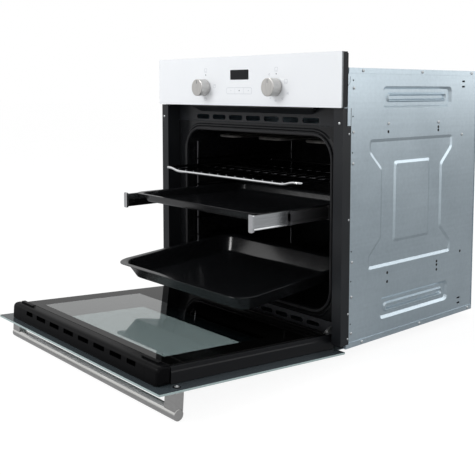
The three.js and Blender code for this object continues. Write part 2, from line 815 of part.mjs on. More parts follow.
// Bottom panel: the face the oven stands on, folded up over the side panels,
// with a narrower tongue that carries the front frame.
function bottomPanel() {
  const rear = bodyDepth - sheet - seat;
  const plate = alongY(foldedSection(0, 1), shellFrontY, rear);
  const tongueFrontY = hingeY - (bottomReveal - hingeZ) - tongueGap;
  const tongue = box(-faceHalfWidth, faceHalfWidth, tongueFrontY, shellFrontY + overlap, 0, sheet);
  const ventY = rear - 1.5 * ventRearMargin;
  const vents = [];
  for (let i = -5; i <= 5; i++) {
    const vent = roundedRect(i * ventPitch, ventY, ventWidth, ventLength, ventWidth * 0.4, 1);
    vents.push(alongZ(vent, -overlap, sheet + overlap));
  }
  return cut(join(plate, tongue), ...vents);
}
piece(oven, "bottom_panel", bottomPanel(), galvanised);

// Rear panel with air slots; the fan motor's wiring sits under the separate rear cover.
function rearPanel() {
  const plate = box(-halfBody, halfBody, bodyDepth - sheet, bodyDepth, seat, bodyHeight - seat);
  const slots = [];
  for (let row = 0; row < 2; row++) {
    for (let i = -4; i <= 4; i++) {
      const z = bodyHeight - rearSlotDrop - row * rearRowPitch;
      const slot = roundedRect(i * rearSlotPitch, z, rearSlotLength, rearSlotHeight, rearSlotHeight * 0.4, 1);
      slots.push(alongY(slot, bodyDepth - sheet - overlap, bodyDepth + overlap));
    }
  }
  return cut(plate, ...slots);
}
piece(oven, "rear_panel", rearPanel(), galvanised);

// Shallow drafted cover screwed over the lower half of the rear panel.
function rearCover() {
  const front = bodyDepth + seat;
  const back = front + coverDepth;
  const mid = coverBottomZ + coverHeight / 2;
  const ring = (y, inset) => {
    const [width, height] = [coverWidth - 2 * inset, coverHeight - 2 * inset];
    return roundedRect(0, mid, width, height, coverCorner, 3).map((p) => v3(p.x, y, p.y));
  };
  const skin = loft([ring(front, 0), ring(back, coverDraft)]);
  const hollow = loft([ring(front - overlap, coverRim), ring(back - sheet, coverRim)]);
  return cut(skin, hollow);
}
piece(oven, "rear_cover", rearCover(), galvanised);

// Terminal box for the mains supply, with the open bore the supply cable would enter by.
function terminalBox() {
  const front = bodyDepth + seat;
  const z = bodyHeight - terminalDrop;
  const under = z - terminalHeight / 2;
  const wall = terminalWall;
  const outside = roundedRect(terminalX, z, terminalWidth, terminalHeight, 2 * wall, 3);
  const body = alongY(outside, front, front + terminalDepth);
  const inside = roundedRect(terminalX, z, terminalWidth - 2 * wall, terminalHeight - 2 * wall, wall, 3);
  const hollow = alongY(inside, front - overlap, front + terminalDepth - wall);
  const tube = (from, to, radius) => rod("z", from, to, terminalX, front + terminalDepth / 2, radius, 20);
  const neck = tube(under - entryNeckLength, under + wall / 2, entryNeckRadius);
  const bore = tube(under - entryNeckLength - overlap, under + wall + overlap, entryRadius);
  return cut(join(cut(body, hollow), neck), bore);
}
piece(oven, "terminal_box", terminalBox(), blackPlastic);

// ---------------------------------------------------------------- front frame

// Column beside the door: a folded channel whose back lip seats on the cabinet's edge.
function frontColumn() {
  const t = lipThickness;
  const lipEnd = halfBody + seat;
  const section = [
    v2(columnInnerX, columnFrontY),
    v2(columnOuterX, columnFrontY),
    v2(columnOuterX, 0),
    v2(lipEnd, 0),
    v2(lipEnd, -t),
    v2(columnOuterX - t, -t),
    v2(columnOuterX - t, columnFrontY + t),
    v2(columnInnerX + t, columnFrontY + t),
    v2(columnInnerX + t, faceBackY),
    v2(columnInnerX, faceBackY),
  ];
  const channel = alongZ(section, columnBottomZ, panelBottomZ - overlap);
  const [fixingX, fixingZ] = [halfFront - fixingInset, panelBottomZ - fixingDrop];
  const fixing = rod("y", columnFrontY - overlap, overlap, fixingX, fixingZ, fixingHoleRadius, 12);
  return cut(channel, fixing);
}
pair(oven, "front_column", frontColumn(), blackEnamel);

// Galvanised bracket that ties the control panel to the column.
function panelBracket() {
  const outer = columnOuterX + seat;
  const front = carrierBackY + overlap;
  const back = front + bracketTongue;
  const neck = back - bracketNeck;
  const outline = [
    v2(front, panelBottomZ - bracketDrop),
    v2(back, panelBottomZ - bracketDrop),
    v2(back, panelBottomZ + bracketRise),
    v2(neck, panelBottomZ + bracketRise),
    v2(neck, panelBottomZ + bracketShoulder),
    v2(front, panelBottomZ + bracketShoulder - bracketSlope),
  ];
  return alongX(outline, outer, outer + bracketSheet);
}
pair(oven, "panel_bracket", panelBracket(), galvanised);

// Recessed face above the cavity, with seven air slots.
function upperFrontPanel() {
  const [length, height] = [upperSlotPitch - upperSlotWeb, upperSlotHeight];
  const slots = [];
  for (let i = 0; i < upperSlots; i++) {
    const x = (i - (upperSlots - 1) / 2) * upperSlotPitch;
    slots.push(roundedRect(x, flangeTopZ + upperSlotRise, length, height, 0.45 * height, 3));
  }
  const top = panelBottomZ - overlap;
  const bottom = flangeTopZ + seat;
  const outline = roundedRect(0, (top + bottom) / 2, 2 * faceHalfWidth, top - bottom, 1, 1);
  return alongY(outline, faceY, faceBackY, slots);
}
piece(oven, "upper_front_panel", upperFrontPanel(), blackEnamel);

// Hood under the control panel that turns the cooling air out over the door.
function airOutletHood() {
  const back = faceY - seat;
  const top = panelBottomZ - 2 * overlap;
  const half = cavityWidth / 2 - hoodSetIn;
  const section = (side) => [
    v3(side * half, back, top),
    v3(side * half, back - hoodDepth, top),
    v3(side * half, back - hoodDepth, top - hoodLip),
    v3(side * (half - hoodFlare), back, top - hoodHeight),
  ];
  return loft([section(-1), section(1)]);
}
piece(oven, "air_outlet_hood", airOutletHood(), blackEnamel);

// Lower face: two rows of intake slots and the two tall slots the hinge claws pass through.
function lowerGrille() {
  const top = flangeBottomZ - seat;
  const bottom = sheet + seat;
  const [length, height] = [lowerSlotPitch - lowerSlotWeb, lowerSlotHeight];
  const slots = [];
  for (let row = 0; row < 2; row++) {
    for (let i = 0; i < lowerSlots; i++) {
      const x = (i - (lowerSlots - 1) / 2) * lowerSlotPitch;
      const z = lowerFirstRowZ + row * lowerRowPitch;
      slots.push(roundedRect(x, z, length, height, 0.4 * height, 1));
    }
  }
  for (const side of [-1, 1]) {
    slots.push(roundedRect(side * hingeX, hingeZ - 1, hingeSlotWidth, hingeSlotHeight, 2, 1));
  }
  const outline = roundedRect(0, (top + bottom) / 2, 2 * faceHalfWidth, top - bottom, 1, 1);
  return alongY(outline, faceY, faceBackY, slots);
}
piece(oven, "lower_grille", lowerGrille(), blackEnamel);

// Hinge claw: hooked into the front frame, its eye holds the door's hinge pin.
function hingeClaw() {
  const inside = faceBackY + clawReach;
  const top = hingeZ + clawRise;
  const arm = roundedLoop(
    [
      v2(hingeY - clawEye, hingeZ - clawEye * 0.3),
      v2(hingeY + clawEye * 0.3, hingeZ - clawEye),
      v2(inside, hingeZ - clawEye * 0.85),
      v2(inside, top),
      v2(hingeY + clawEye * 0.3, top),
      v2(hingeY - clawEye, top - clawEye * 0.85),
    ],
    clawEye * 0.7,
    2,
  );
  const hole = Array.from({ length: 16 }, (_, k) => {
    const angle = (k * Math.PI) / 8;
    return v2(hingeY + clawHoleRadius * Math.cos(angle), hingeZ + clawHoleRadius * Math.sin(angle));
  });
  return alongX(arm, hingeX - clawThickness / 2, hingeX + clawThickness / 2, [hole]);
}
pair(oven, "hinge_claw", hingeClaw(), hingeSteel);

// ---------------------------------------------------------------- cavity

const openingMidZ = (cavityFloorZ + cavityCeilingZ) / 2;
const openingHeight = cavityCeilingZ - cavityFloorZ;
const cavityOutline = (grow, steps = 6) =>
  roundedRect(0, openingMidZ, cavityWidth + 2 * grow, openingHeight + 2 * grow, cavityCorner + grow, steps);

// Cavity: enamelled wrapper welded to a wide front flange with a pressed bead round the mouth.
function cavity() {
  const wrapper = alongY(cavityOutline(enamelSheet), faceY, cavityBackY + 2, [cavityOutline(0)]);
  const flangeMid = (flangeBottomZ + flangeTopZ) / 2;
  const plate = roundedRect(0, flangeMid, 2 * faceHalfWidth, flangeTopZ - flangeBottomZ, 1, 1);
  const flange = alongY(plate, faceY, faceBackY, [cavityOutline(0)]);
  const half = beadWidth / 2;
  const bead = ridge(
    cavityOutline(beadOffset),
    [
      [-half, enamelSheet / 2],
      [-half, 0],
      [-half / 3, -beadHeight],
      [half / 3, -beadHeight],
      [half, 0],
      [half, enamelSheet / 2],
    ],
    (p, height) => v3(p.x, faceY + height, p.y),
  );
  return join(wrapper, flange, bead);
}
piece(oven, "cavity", cavity(), cavityEnamel);

// Rope seal round the mouth, which the door's inner glass closes on.
function doorGasket() {
  const radius = gasketDiameter / 2;
  const section = Array.from({ length: 6 }, (_, k) => {
    const angle = (-(k + 0.5) * Math.PI) / 3;
    return [radius * Math.cos(angle), radius * Math.sin(angle)];
  });
  const centre = faceY - seat - radius;
  return ridge(cavityOutline(gasketOffset), section, (p, height) => v3(p.x, centre + height, p.y));
}
piece(oven, "door_gasket", doorGasket(), ropeSeal);

// Rear wall of the cavity, pressed back into a round pocket for the fan.
function cavityRearWall() {
  const wall = alongY(cavityOutline(-seat), cavityBackY, cavityBackY + enamelSheet);
  const pocketBackY = cavityBackY + fanPocketDepth;
  const cup = rod("y", cavityBackY + seat, pocketBackY, 0, fanZ, fanPocketRadius, 32);
  const hollowRadius = fanPocketRadius - enamelSheet;
  const hollow = rod("y", cavityBackY - overlap, pocketBackY - enamelSheet, 0, fanZ, hollowRadius, 32);
  const shaftHole = rod("y", cavityBackY, pocketBackY + overlap, 0, fanZ, 1.5 * fanShaftRadius, 16);
  return cut(join(wall, cup), hollow, shaftHole);
}
piece(oven, "cavity_rear_wall", cavityRearWall(), cavityEnamel);

// Fan cover: shallow dished plate with a round intake grille and side outlets.
function fanCover() {
  const back = cavityBackY - seat;
  const front = back - fanCoverDepth;
  const ring = (y, inset) => {
    const [width, height] = [fanCoverWidth - 2 * inset, fanCoverHeight - 2 * inset];
    return roundedRect(0, fanZ, width, height, fanCoverCorner - inset, 3).map((p) => v3(p.x, y, p.y));
  };
  const skin = loft([ring(front, fanCoverDraft), ring(back, 0)]);
  const hollow = loft([ring(front + enamelSheet, fanCoverDraft + 2), ring(back + overlap, 4)]);
  const slots = [];
  for (let i = 0; i < intakeSlots; i++) {
    const corner = intakeSlotWidth * 0.44;
    const outline = roundedRect(intakeSlotRadius, 0, intakeSlotLength, intakeSlotWidth, corner, 1);
    const slot = alongY(outline, -overlap, enamelSheet + overlap);
    slot.rotateY((i * 2 * Math.PI) / intakeSlots).translate(0, front, fanZ);
    slots.push(slot);
  }
  return cut(skin, hollow, ...slots);
}
piece(oven, "fan_cover", fanCover(), cavityEnamel);

// Shaded-pole fan motor behind the rear wall.
function fanMotor() {
  const front = cavityBackY + fanPocketDepth + seat;
  const half = motorStatorHalf;
  const flange = rod("y", front, front + 3 * sheet, 0, fanZ, motorFlangeRadius, 24);
  const stator = box(-half, half, front + 2 * sheet, bodyDepth - 3 * sheet, fanZ - half, fanZ + half);
  const bore = rod("y", front - overlap, front + motorBoreDepth, 0, fanZ, fanShaftRadius + 2 * seat, 16);
  return cut(join(flange, stator), bore);
}
piece(oven, "fan_motor", fanMotor(), castMetal);

// Fan impeller: back disc, curved-in blades and the shaft that enters the motor.
function fanImpeller() {
  const back = cavityBackY + fanPocketDepth - enamelSheet - 2 * sheet;
  const front = back - fanBladeDepth;
  const disc = rod("y", back - enamelSheet, back, 0, fanZ, fanRadius, 32);
  const hub = rod("y", front, back, 0, fanZ, fanHubRadius, 16);
  const shaftEnd = cavityBackY + fanPocketDepth + motorBoreDepth - 2 * sheet;
  const shaft = rod("y", back - sheet, shaftEnd, 0, fanZ, fanShaftRadius - seat, 16);
  const blades = [];
  for (let i = 0; i < fanBlades; i++) {
    const blade = box(fanBladeRoot, fanRadius - 2 * sheet, front, back - sheet, -sheet / 2, sheet / 2);
    blade.rotateY(fanBladeTwist).translate(0, 0, fanBladeRoot / 3);
    blade.rotateY((i * 2 * Math.PI) / fanBlades).translate(0, 0, fanZ);
    blades.push(blade);
  }
  return join(disc, hub, shaft, ...blades);
}
piece(oven, "fan_impeller", fanImpeller(), castMetal);

// Grill element: one length of sheathed tube in three hairpins, on a plate at the rear wall.
function grillElement() {
  const z = cavityCeilingZ - elementDrop;
  const back = cavityBackY - seat;
  const rear = back - elementRearGap;
  const loopRear = rear - elementInset;
  const outer = elementInnerX + 2 * elementPitch;
  const middle = elementInnerX + elementPitch;
  const corners = [
    v3(-elementTerminalX, back - overlap, z),
    v3(-elementTerminalX, rear, z),
    v3(-outer, rear, z),
    v3(-outer, elementFrontY, z),
    v3(-middle, elementFrontY, z),
    v3(-middle, loopRear, z),
    v3(-elementInnerX, loopRear, z),
    v3(-elementInnerX, elementFrontY, z),
  ];
  const right = corners.map((p) => v3(-p.x, p.y, p.z)).reverse();
  const path = bentPath([...corners, ...right], elementBend, 4);
  const outline = roundedRect(0, z, elementPlateWidth, elementPlateHeight, elementPlateHeight * 0.3, 3);
  return join(bar(path, elementDiameter, 6), alongY(outline, back - 2 * sheet, back));
}
piece(oven, "grill_element", grillElement(), elementSheath);

// Oven lamp: domed glass in a screwed ring on the rear wall.
function ovenLamp() {
  const profile = [
    v2(0, lampHeight),
    v2(lampRadius * 0.43, lampHeight * 0.88),
    v2(lampRadius * 0.71, lampHeight * 0.56),
    v2(lampRadius * 0.86, lampHeight * 0.19),
    v2(lampRadius, lampHeight * 0.19),
    v2(lampRadius, 0),
    v2(0, 0),
  ].reverse();
  const lamp = new THREE.LatheGeometry(profile, 20).rotateX(Math.PI);
  return lamp.translate(cavityWidth / 2 - lampSideGap, cavityBackY - seat, cavityCeilingZ - lampDrop);
}
piece(oven, "oven_lamp", ovenLamp(), clearGlass);

// ---------------------------------------------------------------- racks

const rackLevel = (level) => rackBaseZ + level * rackPitch;

// Height lost to the cavity's rounded corner at a distance x from the middle.
function cornerDrop(x) {
  const run = Math.max(0, x - (cavityWidth / 2 - cavityCorner));
  return cavityCorner - Math.sqrt(Math.max(0, cavityCorner ** 2 - run ** 2));
}

// Side rack: two upright wires with four levels, each a support wire and a guard wire.
function sideRack() {
  const postX = rackX + rackWire / 2 + rackPostWire / 2 - seat;
  const drop = cornerDrop(postX + rackPostWire / 2) + rackPostWire;
  const low = cavityFloorZ + drop;
  const high = cavityCeilingZ - drop;
  const stubDrop = cavityCorner + rackStubGap;
  const wires = [];
  for (let level = 0; level < rackLevels; level++) {
    const support = rackLevel(level) - rackWire / 2;
    const guard = rackLevel(level) + rackGuideGap + rackWire / 2;
    for (const z of [support, guard]) wires.push(rod("y", rackFrontY, rackRearY, rackX, z, rackWire / 2, 6));
  }
  for (const y of [rackFrontY + rackPostInset, rackRearY - rackPostInset]) {
    wires.push(rod("z", low, high, postX, y, rackPostWire / 2, 8));
    for (const z of [cavityFloorZ + stubDrop, cavityCeilingZ - stubDrop]) {
      wires.push(rod("x", postX, cavityWidth / 2 - seat, y, z, rackStubDiameter / 2, 8));
    }
  }
  return join(...wires);
}
pair(oven, "side_rack", sideRack(), chrome);

// Wire shelf: round frame, long bars welded on top of it, two cross wires below them.
function wireShelf() {
  const halfWidth = rackX - shelfSideGap;
  const frameZ = rackLevel(shelfLevel) + shelfWire / 2 + seat;
  const middleZ = frameZ - shelfStep;
  const front = shelfStoredY + shelfWire / 2;
  const rear = shelfStoredY + shelfDepth - shelfWire / 2;
  const straight = halfWidth - shelfEndLength;
  const half = (side) => bentPath(
    [
      v3(-side, front, middleZ),
      v3(side * (straight - shelfStepLength), front, middleZ),
      v3(side * straight, front, frameZ),
      v3(side * halfWidth, front, frameZ),
      v3(side * halfWidth, rear, frameZ),
      v3(-side, rear, frameZ),
    ],
    shelfBend,
    2,
  );
  const barZ = middleZ + shelfWire / 2 + shelfBarWire / 3;
  const wires = [bar(half(1), shelfWire), bar(half(-1), shelfWire)];
  for (let i = 0; i < shelfBars; i++) {
    const x = (i - (shelfBars - 1) / 2) * shelfBarPitch;
    wires.push(rod("y", front - overlap, rear, x, barZ, shelfBarWire / 2, 6));
  }
  const crossRadius = shelfCrossWire / 2;
  for (const share of [1 / 3, 2 / 3]) {
    const y = front + share * (rear - front);
    wires.push(rod("x", overlap - halfWidth, halfWidth - overlap, y, barZ - crossRadius, crossRadius, 6));
  }
  return join(...wires);
}
const shelfGroup = new THREE.Group();
shelfGroup.position.y = -shelfTravel;
oven.add(shelfGroup);
piece(shelfGroup, "wire_shelf", wireShelf(), chrome);

// Pressed pan in one skin: floor, leaning walls and a flat rim all round.
function pressedPan(halfWidth, storedY, length, rimZ, height, rim, draft, corner) {
  const t = rimThickness;
  const ring = (inset, z) =>
    roundedRect(0, storedY + length / 2, 2 * (halfWidth - inset), length - 2 * inset, corner - inset * 0.6, 5)
      .map((p) => v3(p.x, p.y, z));
  const floorZ = rimZ - height;
  const foot = rim + draft;
  return loft([
    ring(foot + floorBend, floorZ),
    ring(foot - sheet, floorZ + floorBend),
    ring(rim, rimZ),
    ring(0, rimZ),
    ring(0, rimZ + t),
    ring(rim + t, rimZ + t),
    ring(foot - sheet + t, floorZ + floorBend + t),
    ring(foot + floorBend + t, floorZ + t),
  ]);
}

// Telescopic runners that carry the shallow tray: outer channel hooked on the rack,
// middle bar and inner channel, with an upright stop at the front of the inner one.
const runnerOuterX = rackX - rackWire / 2 - seat;
const runnerInnerX = runnerOuterX - runnerWidth;
const runnerTopZ = runnerBottomZ + runnerHeight;

function runnerOuter() {
  const [xi, xo, t] = [runnerOuterX - runnerLip, runnerOuterX, runnerSheet];
  const [front, end] = [runnerStoredY, runnerStoredY + runnerLength];
  const hookZ = rackLevel(trayLevel) + seat;
  const hook = (y) => box(xo - t, rackX + rackWire / 2, y, y + runnerHook, hookZ, hookZ + t);
  return join(
    box(xo - t, xo, front, end, runnerBottomZ, runnerTopZ),
    box(xi, xo, front, end, runnerBottomZ, runnerBottomZ + t),
    box(xi, xo, front, end, runnerTopZ - t, runnerTopZ),
    hook(front + 2 * runnerHook),
    hook(rackRearY - 4 * runnerHook),
  );
}
pair(oven, "runner_outer", runnerOuter(), hingeSteel);

function runnerMiddle() {
  const edge = runnerSheet + seat;
  const [xi, xo] = [runnerInnerX + edge + sheet, runnerOuterX - edge - sheet];
  const mid = (xi + xo) / 2;
  const [z0, z1] = [runnerBottomZ + edge, runnerTopZ - edge];
  const [front, end] = [runnerStoredY, runnerStoredY + runnerLength];
  return join(
    box(mid - runnerWeb / 2, mid + runnerWeb / 2, front, end, z0, z1),
    box(xi, xo, front, end, z0, z0 + runnerFoot),
    box(xi, xo, front, end, z1 - runnerFoot, z1),
  );
}
const middleGroup = new THREE.Group();
middleGroup.position.y = -trayTravel / 2;
oven.add(middleGroup);
pair(middleGroup, "runner_middle", runnerMiddle(), hingeSteel);

function runnerInner() {
  const [xi, xo, t] = [runnerInnerX, runnerInnerX + runnerLip, runnerSheet];
  const end = runnerStoredY + runnerLength;
  return join(
    box(xi, xi + t, runnerStoredY, end, runnerBottomZ, runnerTopZ),
    box(xi, xo, runnerStoredY, end, runnerBottomZ, runnerBottomZ + t),
    box(xi, xo, runnerStoredY, end, runnerTopZ - t, runnerTopZ),
  );
}

function runnerCap() {
  const mid = (runnerBottomZ + runnerTopZ) / 2;
  const width = runnerWidth - sheet;
  const plate = roundedRect(runnerInnerX + width / 2, mid, width, capHeight, width / 5, 3);
  return alongY(plate, runnerStoredY - seat - capThickness, runnerStoredY - seat);
}

function shallowTray() {
  return pressedPan(
    trayRimHalfWidth, trayStoredY, trayDepth, runnerTopZ + seat,
    trayHeight, trayRim, trayDraft, trayCorner,
  );
}
const trayGroup = new THREE.Group();
trayGroup.position.y = -trayTravel;
oven.add(trayGroup);
pair(trayGroup, "runner_inner", runnerInner(), stainless);
pair(trayGroup, "runner_cap", runnerCap(), chrome);
piece(trayGroup, "shallow_tray", shallowTray(), panEnamel);

// Deep pan: as it is drawn out, its rim tips over the front end of the support wires.
// The path is an arc about a far centre under the pan, tangent to the pushed-in rim.
const panArcRadius = panTravel / rad(panTilt);
const panArcY = rackFrontY + panArcRadius * Math.tan(rad(panTilt) / 2);
const panArcZ = panRimZ - panArcRadius;
const panGroup = new THREE.Group();
panGroup.position.set(0, panArcY, panArcZ);
panGroup.rotation.x = rad(panTilt);
oven.add(panGroup);
function deepPan() {
  return pressedPan(
    panRimHalfWidth, panStoredY, panLength, panRimZ,
    panHeight, panRim, panDraft, panCorner,
  ).translate(0, -panArcY, -panArcZ);
}
piece(panGroup, "deep_pan", deepPan(), panEnamel);

// ---------------------------------------------------------------- control panel

// White glass fascia with the two spindle holes and the display opening.
function controlPanelGlass() {
  const outline = roundedRect(0, frontHeight - panelHeight / 2, frontWidth, panelHeight, 1, 2);
  const hole = (x) => roundedRect(x, controlAxisZ, spindleHole, spindleHole, spindleHole * 0.49, 4);
  const display = roundedRect(displayX, displayZ, displayWidth + 2 * seat, displayHeight + 2 * seat, 1, 1);
  return alongY(outline, glassFaceY, glassFaceY + panelGlassThickness, [hole(-knobX), hole(knobX), display]);
}
piece(oven, "control_panel_glass", controlPanelGlass(), whiteGlass);

function displayWindow() {
  const outline = roundedRect(displayX, displayZ, displayWidth, displayHeight, 1, 1);
  return alongY(outline, glassFaceY, glassFaceY + panelGlassThickness - seat);
}
piece(oven, "display_window", displayWindow(), blackGlass);

// Moulded carrier behind the glass, stepped in at the back and open towards the oven.
function controlPanelCarrier() {
  const half = halfFront - carrierInset;
  const [bottom, top] = [panelBottomZ + carrierInset / 2, frontHeight - carrierInset / 2];
  const [wall, step] = [carrierWall, carrierStep];
  const outer = box(-half, half, carrierFrontY, carrierBackY, bottom, top);
  const rear = box(step - half, half - step, carrierBackY - overlap, carrierRearY, bottom + step, top - step);
  const inside = half - wall;
  const hollow = box(-inside, inside, carrierPlateY, carrierRearY + overlap, bottom + wall, top - wall);
  const holes = [-knobX, knobX].map((x) =>
    rod("y", carrierFrontY - overlap, carrierPlateY + overlap, x, controlAxisZ, spindleHole / 2, 16),
  );
  return cut(join(outer, rear), hollow, ...holes);
}
piece(oven, "control_panel_carrier", controlPanelCarrier(), blackPlastic);

// Sheet housing between the control panel and the top of the oven, open at the back.
function controlBox() {
  const half = faceHalfWidth;
  const front = carrierRearY + seat;
  const [bottom, top] = [panelBottomZ + overlap, bodyHeight - sheet - seat];
  const outer = box(-half, half, front, faceBackY, bottom, top);
  const inside = half - sheet;
  const hollow = box(-inside, inside, front + sheet, faceBackY + overlap, bottom - overlap, top - sheet);
  const wide = half - boxSideFlange;
  const opening = box(-wide, wide, front - overlap, front + 2 * sheet, bottom + boxFlange, top - boxFlange);
  return cut(outer, hollow, opening);
}
piece(oven, "control_box", controlBox(), galvanised);

// Rotary function switch and thermostat, screwed behind the carrier.
function rotaryControl(x, body) {
  const end = carrierPlateY + seat + spindleLength;
  const bore = rod("y", carrierPlateY - overlap, end + seat, x, controlAxisZ, spindleDiameter / 2 + seat, 16);
  return cut(body, bore);
}
const switchFrontY = carrierPlateY + seat;
const switchBackY = switchFrontY + switchDepth;
const selectorBody = rod("y", switchFrontY, switchBackY, -knobX, controlAxisZ, switchRadius, 24);
piece(oven, "selector_switch", rotaryControl(-knobX, selectorBody), blackPlastic);
const thermostatBody = box(
  knobX - thermostatWidth / 2, knobX + thermostatWidth / 2,
  switchFrontY, switchBackY,
  controlAxisZ - thermostatHeight / 2, controlAxisZ + thermostatHeight / 2,
);
piece(oven, "thermostat", rotaryControl(knobX, thermostatBody), castMetal);

// Turned knob with a slightly dished face, on its spindle.
function knob() {
  const r = knobDiameter / 2;
  const face = knobGap + knobLength;
  const inner = -(switchFrontY + spindleLength - glassFaceY);
  const profile = [
    v2(0, inner),
    v2(spindleDiameter / 2, inner),
    v2(spindleDiameter / 2, knobGap),
    v2(r, knobGap),
    v2(r, face - knobBevel),
    v2(r - knobBevel, face),
    v2(r - 3 * knobBevel, face),
    v2(0, face - knobDish),
  ];
  return outward(new THREE.LatheGeometry(profile, 32).rotateX(Math.PI));
}
for (const [side, name] of [[-1, "knob_left"], [1, "knob_right"]]) {
  piece(oven, name, knob().translate(side * knobX, glassFaceY, controlAxisZ), stainless);
}

// ---------------------------------------------------------------- door

// The door is modelled closed, about its hinge pin, and the group turns it open.
const door = new THREE.Group();
door.position.set(0, hingeY, hingeZ);
door.rotation.x = rad(doorOpenAngle);
oven.add(door);

const doorFaceY = glassFaceY - hingeY;
const doorGlassBottom = bottomReveal - hingeZ;
const doorGlassTop = panelBottomZ - panelDoorGap - hingeZ;
const frameFrontY = doorFaceY + glassThickness + seat;
const frameBackY = frameFrontY + doorFrameDepth;
const halfDoorFrame = doorFrameWidth / 2;
const capInnerX = halfDoorFrame - capWidth;
const trimTop = doorGlassTop - trimOverhang;
const trimBottom = trimTop - trimHeight;
const innerGlassTop = trimBottom - 2;
const innerGlassY = frameBackY + seat;

// Outer glass, 4 mm, with small rounded corners.
function doorOuterGlass() {
  const height = doorGlassTop - doorGlassBottom;
  const outline = roundedRect(0, (doorGlassTop + doorGlassBottom) / 2, frontWidth, height, 1.5, 3);
  return alongY(outline, doorFaceY, doorFaceY + glassThickness);
}
piece(door, "door_outer_glass", doorOuterGlass(), clearGlass);

function doorInnerGlass() {
  const height = innerGlassTop - innerGlassBottom;
  const outline = roundedRect(0, (innerGlassTop + innerGlassBottom) / 2, innerGlassWidth, height, 3, 3);
  return alongY(outline, innerGlassY, innerGlassY + innerGlassThickness);
}
piece(door, "door_inner_glass", doorInnerGlass(), clearGlass);

// Side profile: extrusion with a lip that keeps the inner glass.
function doorSideProfile() {
  const [xi, xo] = [halfDoorFrame - sideProfileWidth, halfDoorFrame];
  const lipX = innerGlassWidth / 2 + seat;
  const lipY = innerGlassY + sideProfileLip;
  const stepY = frameFrontY + 0.75 * doorFrameDepth;
  const section = [
    v2(xi, frameFrontY),
    v2(xo, frameFrontY),
    v2(xo, stepY),
    v2(xo - sideProfileStep, stepY + sideProfileStep),
    v2(xo - sideProfileStep, lipY),
    v2(lipX, lipY),
    v2(lipX, frameBackY),
    v2(xi, frameBackY),
  ];
  return alongZ(section, doorFrameBottom, trimBottom - seat);
}
pair(door, "door_side_profile", doorSideProfile(), blackPlastic);

// Bottom profile: channel between the two hinges.
function doorBottomProfile() {
  const half = hingeX - hingeCaseWidth / 2 - sideProfileLip;
  const [z0, z1] = [doorFrameBottom, innerGlassBottom - overlap];
  const wall = trimWall;
  const outer = box(-half, half, frameFrontY, frameBackY, z0, z1);
  const open = half + overlap;
  const hollow = box(-open, open, frameFrontY + wall, frameBackY - wall, z0 + wall, z1 + overlap);
  return cut(outer, hollow);
}
piece(door, "door_bottom_profile", doorBottomProfile(), blackPlastic);

// Cross section of the top trim, in (y, z), shrunk inwards by `inset`.
function trimSection(inset) {
  const [y0, y1] = [frameFrontY + inset, frameFrontY + trimDepth - inset];
  const [z0, z1] = [trimBottom + inset, trimTop - inset];
  const curve = new THREE.QuadraticBezierCurve(v2(y1, z1 - trimCorner), v2(y1, z1), v2(y1 - trimCrown, z1));
  return [v2(y0, z0), v2(y1 - sideProfileLip, z0), ...curve.getPoints(4), v2(y0, z1)];
}

// Top trim: moulded channel with eight cooling-air slots.
function doorTopTrim() {
  const half = capInnerX - seat;
  const wall = trimWall;
  const back = frameFrontY + trimDepth - wall;
  const shell = alongX(trimSection(0), -half, half);
  const hollow = alongX(
    [
      v2(frameFrontY + wall, trimBottom - overlap),
      v2(back - wall, trimBottom - overlap),
      v2(back, trimTop - trimCorner - overlap),
      v2(back - 3 * wall, trimTop - 1.5 * wall),
      v2(frameFrontY + wall, trimTop - wall),
    ],
    -half - overlap,
    half + overlap,
  );
  const slotY = doorFaceY + glassThickness + trimSlotDepthPlace;
  const places = [
    [-shortSlotX, shortSlot],
    [shortSlotX, shortSlot],
  ];
  for (let i = 0; i < longSlots; i++) places.push([(i - (longSlots - 1) / 2) * longSlotPitch, longSlot]);
  const slots = places.map(([x, width]) =>
    alongZ(roundedRect(x, slotY, width, trimSlotHeight, 1, 1), trimTop - 2 * wall, trimTop + overlap),
  );
  return cut(shell, hollow, ...slots);
}
piece(door, "door_top_trim", doorTopTrim(), blackPlastic);

// Moulded end cap that closes the trim and rounds off the door's top corner.
function doorEndCap() {
  const ring = (x, inset) => trimSection(inset).map((p) => v3(x, p.x, p.y));
  const cap = loft([
    ring(capInnerX, 0),
    ring(halfDoorFrame - capEdge, 0),
    ring(halfDoorFrame - capEdge * 0.3, capEdge * 0.17),
    ring(halfDoorFrame, capEdge * 0.43),
  ]);
  const back = frameFrontY + trimDepth;
  const top = trimTop - trimCorner;
  const clipOuterX = halfDoorFrame - clipInset;
  const clipInnerX = clipOuterX - clipLength;
  const clip = box(clipInnerX, clipOuterX, back + seat, back + clipHeight, top - clipWidth, top);
  const root = box(capInnerX + overlap, clipOuterX, back - overlap, back + 2 * seat, top - clipWidth, top);
  return join(cap, root, clip);
}
pair(door, "door_end_cap", doorEndCap(), blackPlastic);

// Hinge case: steel channel in the door that carries the hinge pin.
function hingeCase() {
  const [xi, xo] = [hingeX - hingeCaseWidth / 2, hingeX + hingeCaseWidth / 2];
  const [top, wall, nose] = [hingeCaseTop, hingeCaseWall, hingeNose];
  const front = frameFrontY + wall;
  const outline = [
    v2(front, top),
    v2(front, hingeThroat),
    v2(-nose, -nose * 0.7),
    v2(-nose * 0.4, -nose),
    v2(nose * 0.6, -nose),
    v2(nose, -nose * 0.4),
    v2(nose, nose * 0.6),
    v2(0, hingeThroat),
    v2(0, top),
  ];
  const block = alongX(outline, xi, xo);
  const hollow = box(xi + wall, xo - wall, front + wall, nose + overlap, -nose - overlap, top + overlap);
  const pin = rod("x", xi + seat, xo - seat, 0, 0, hingePinRadius, 16);
  return join(cut(block, hollow), pin);
}
pair(door, "hinge_case", hingeCase(), hingeSteel);

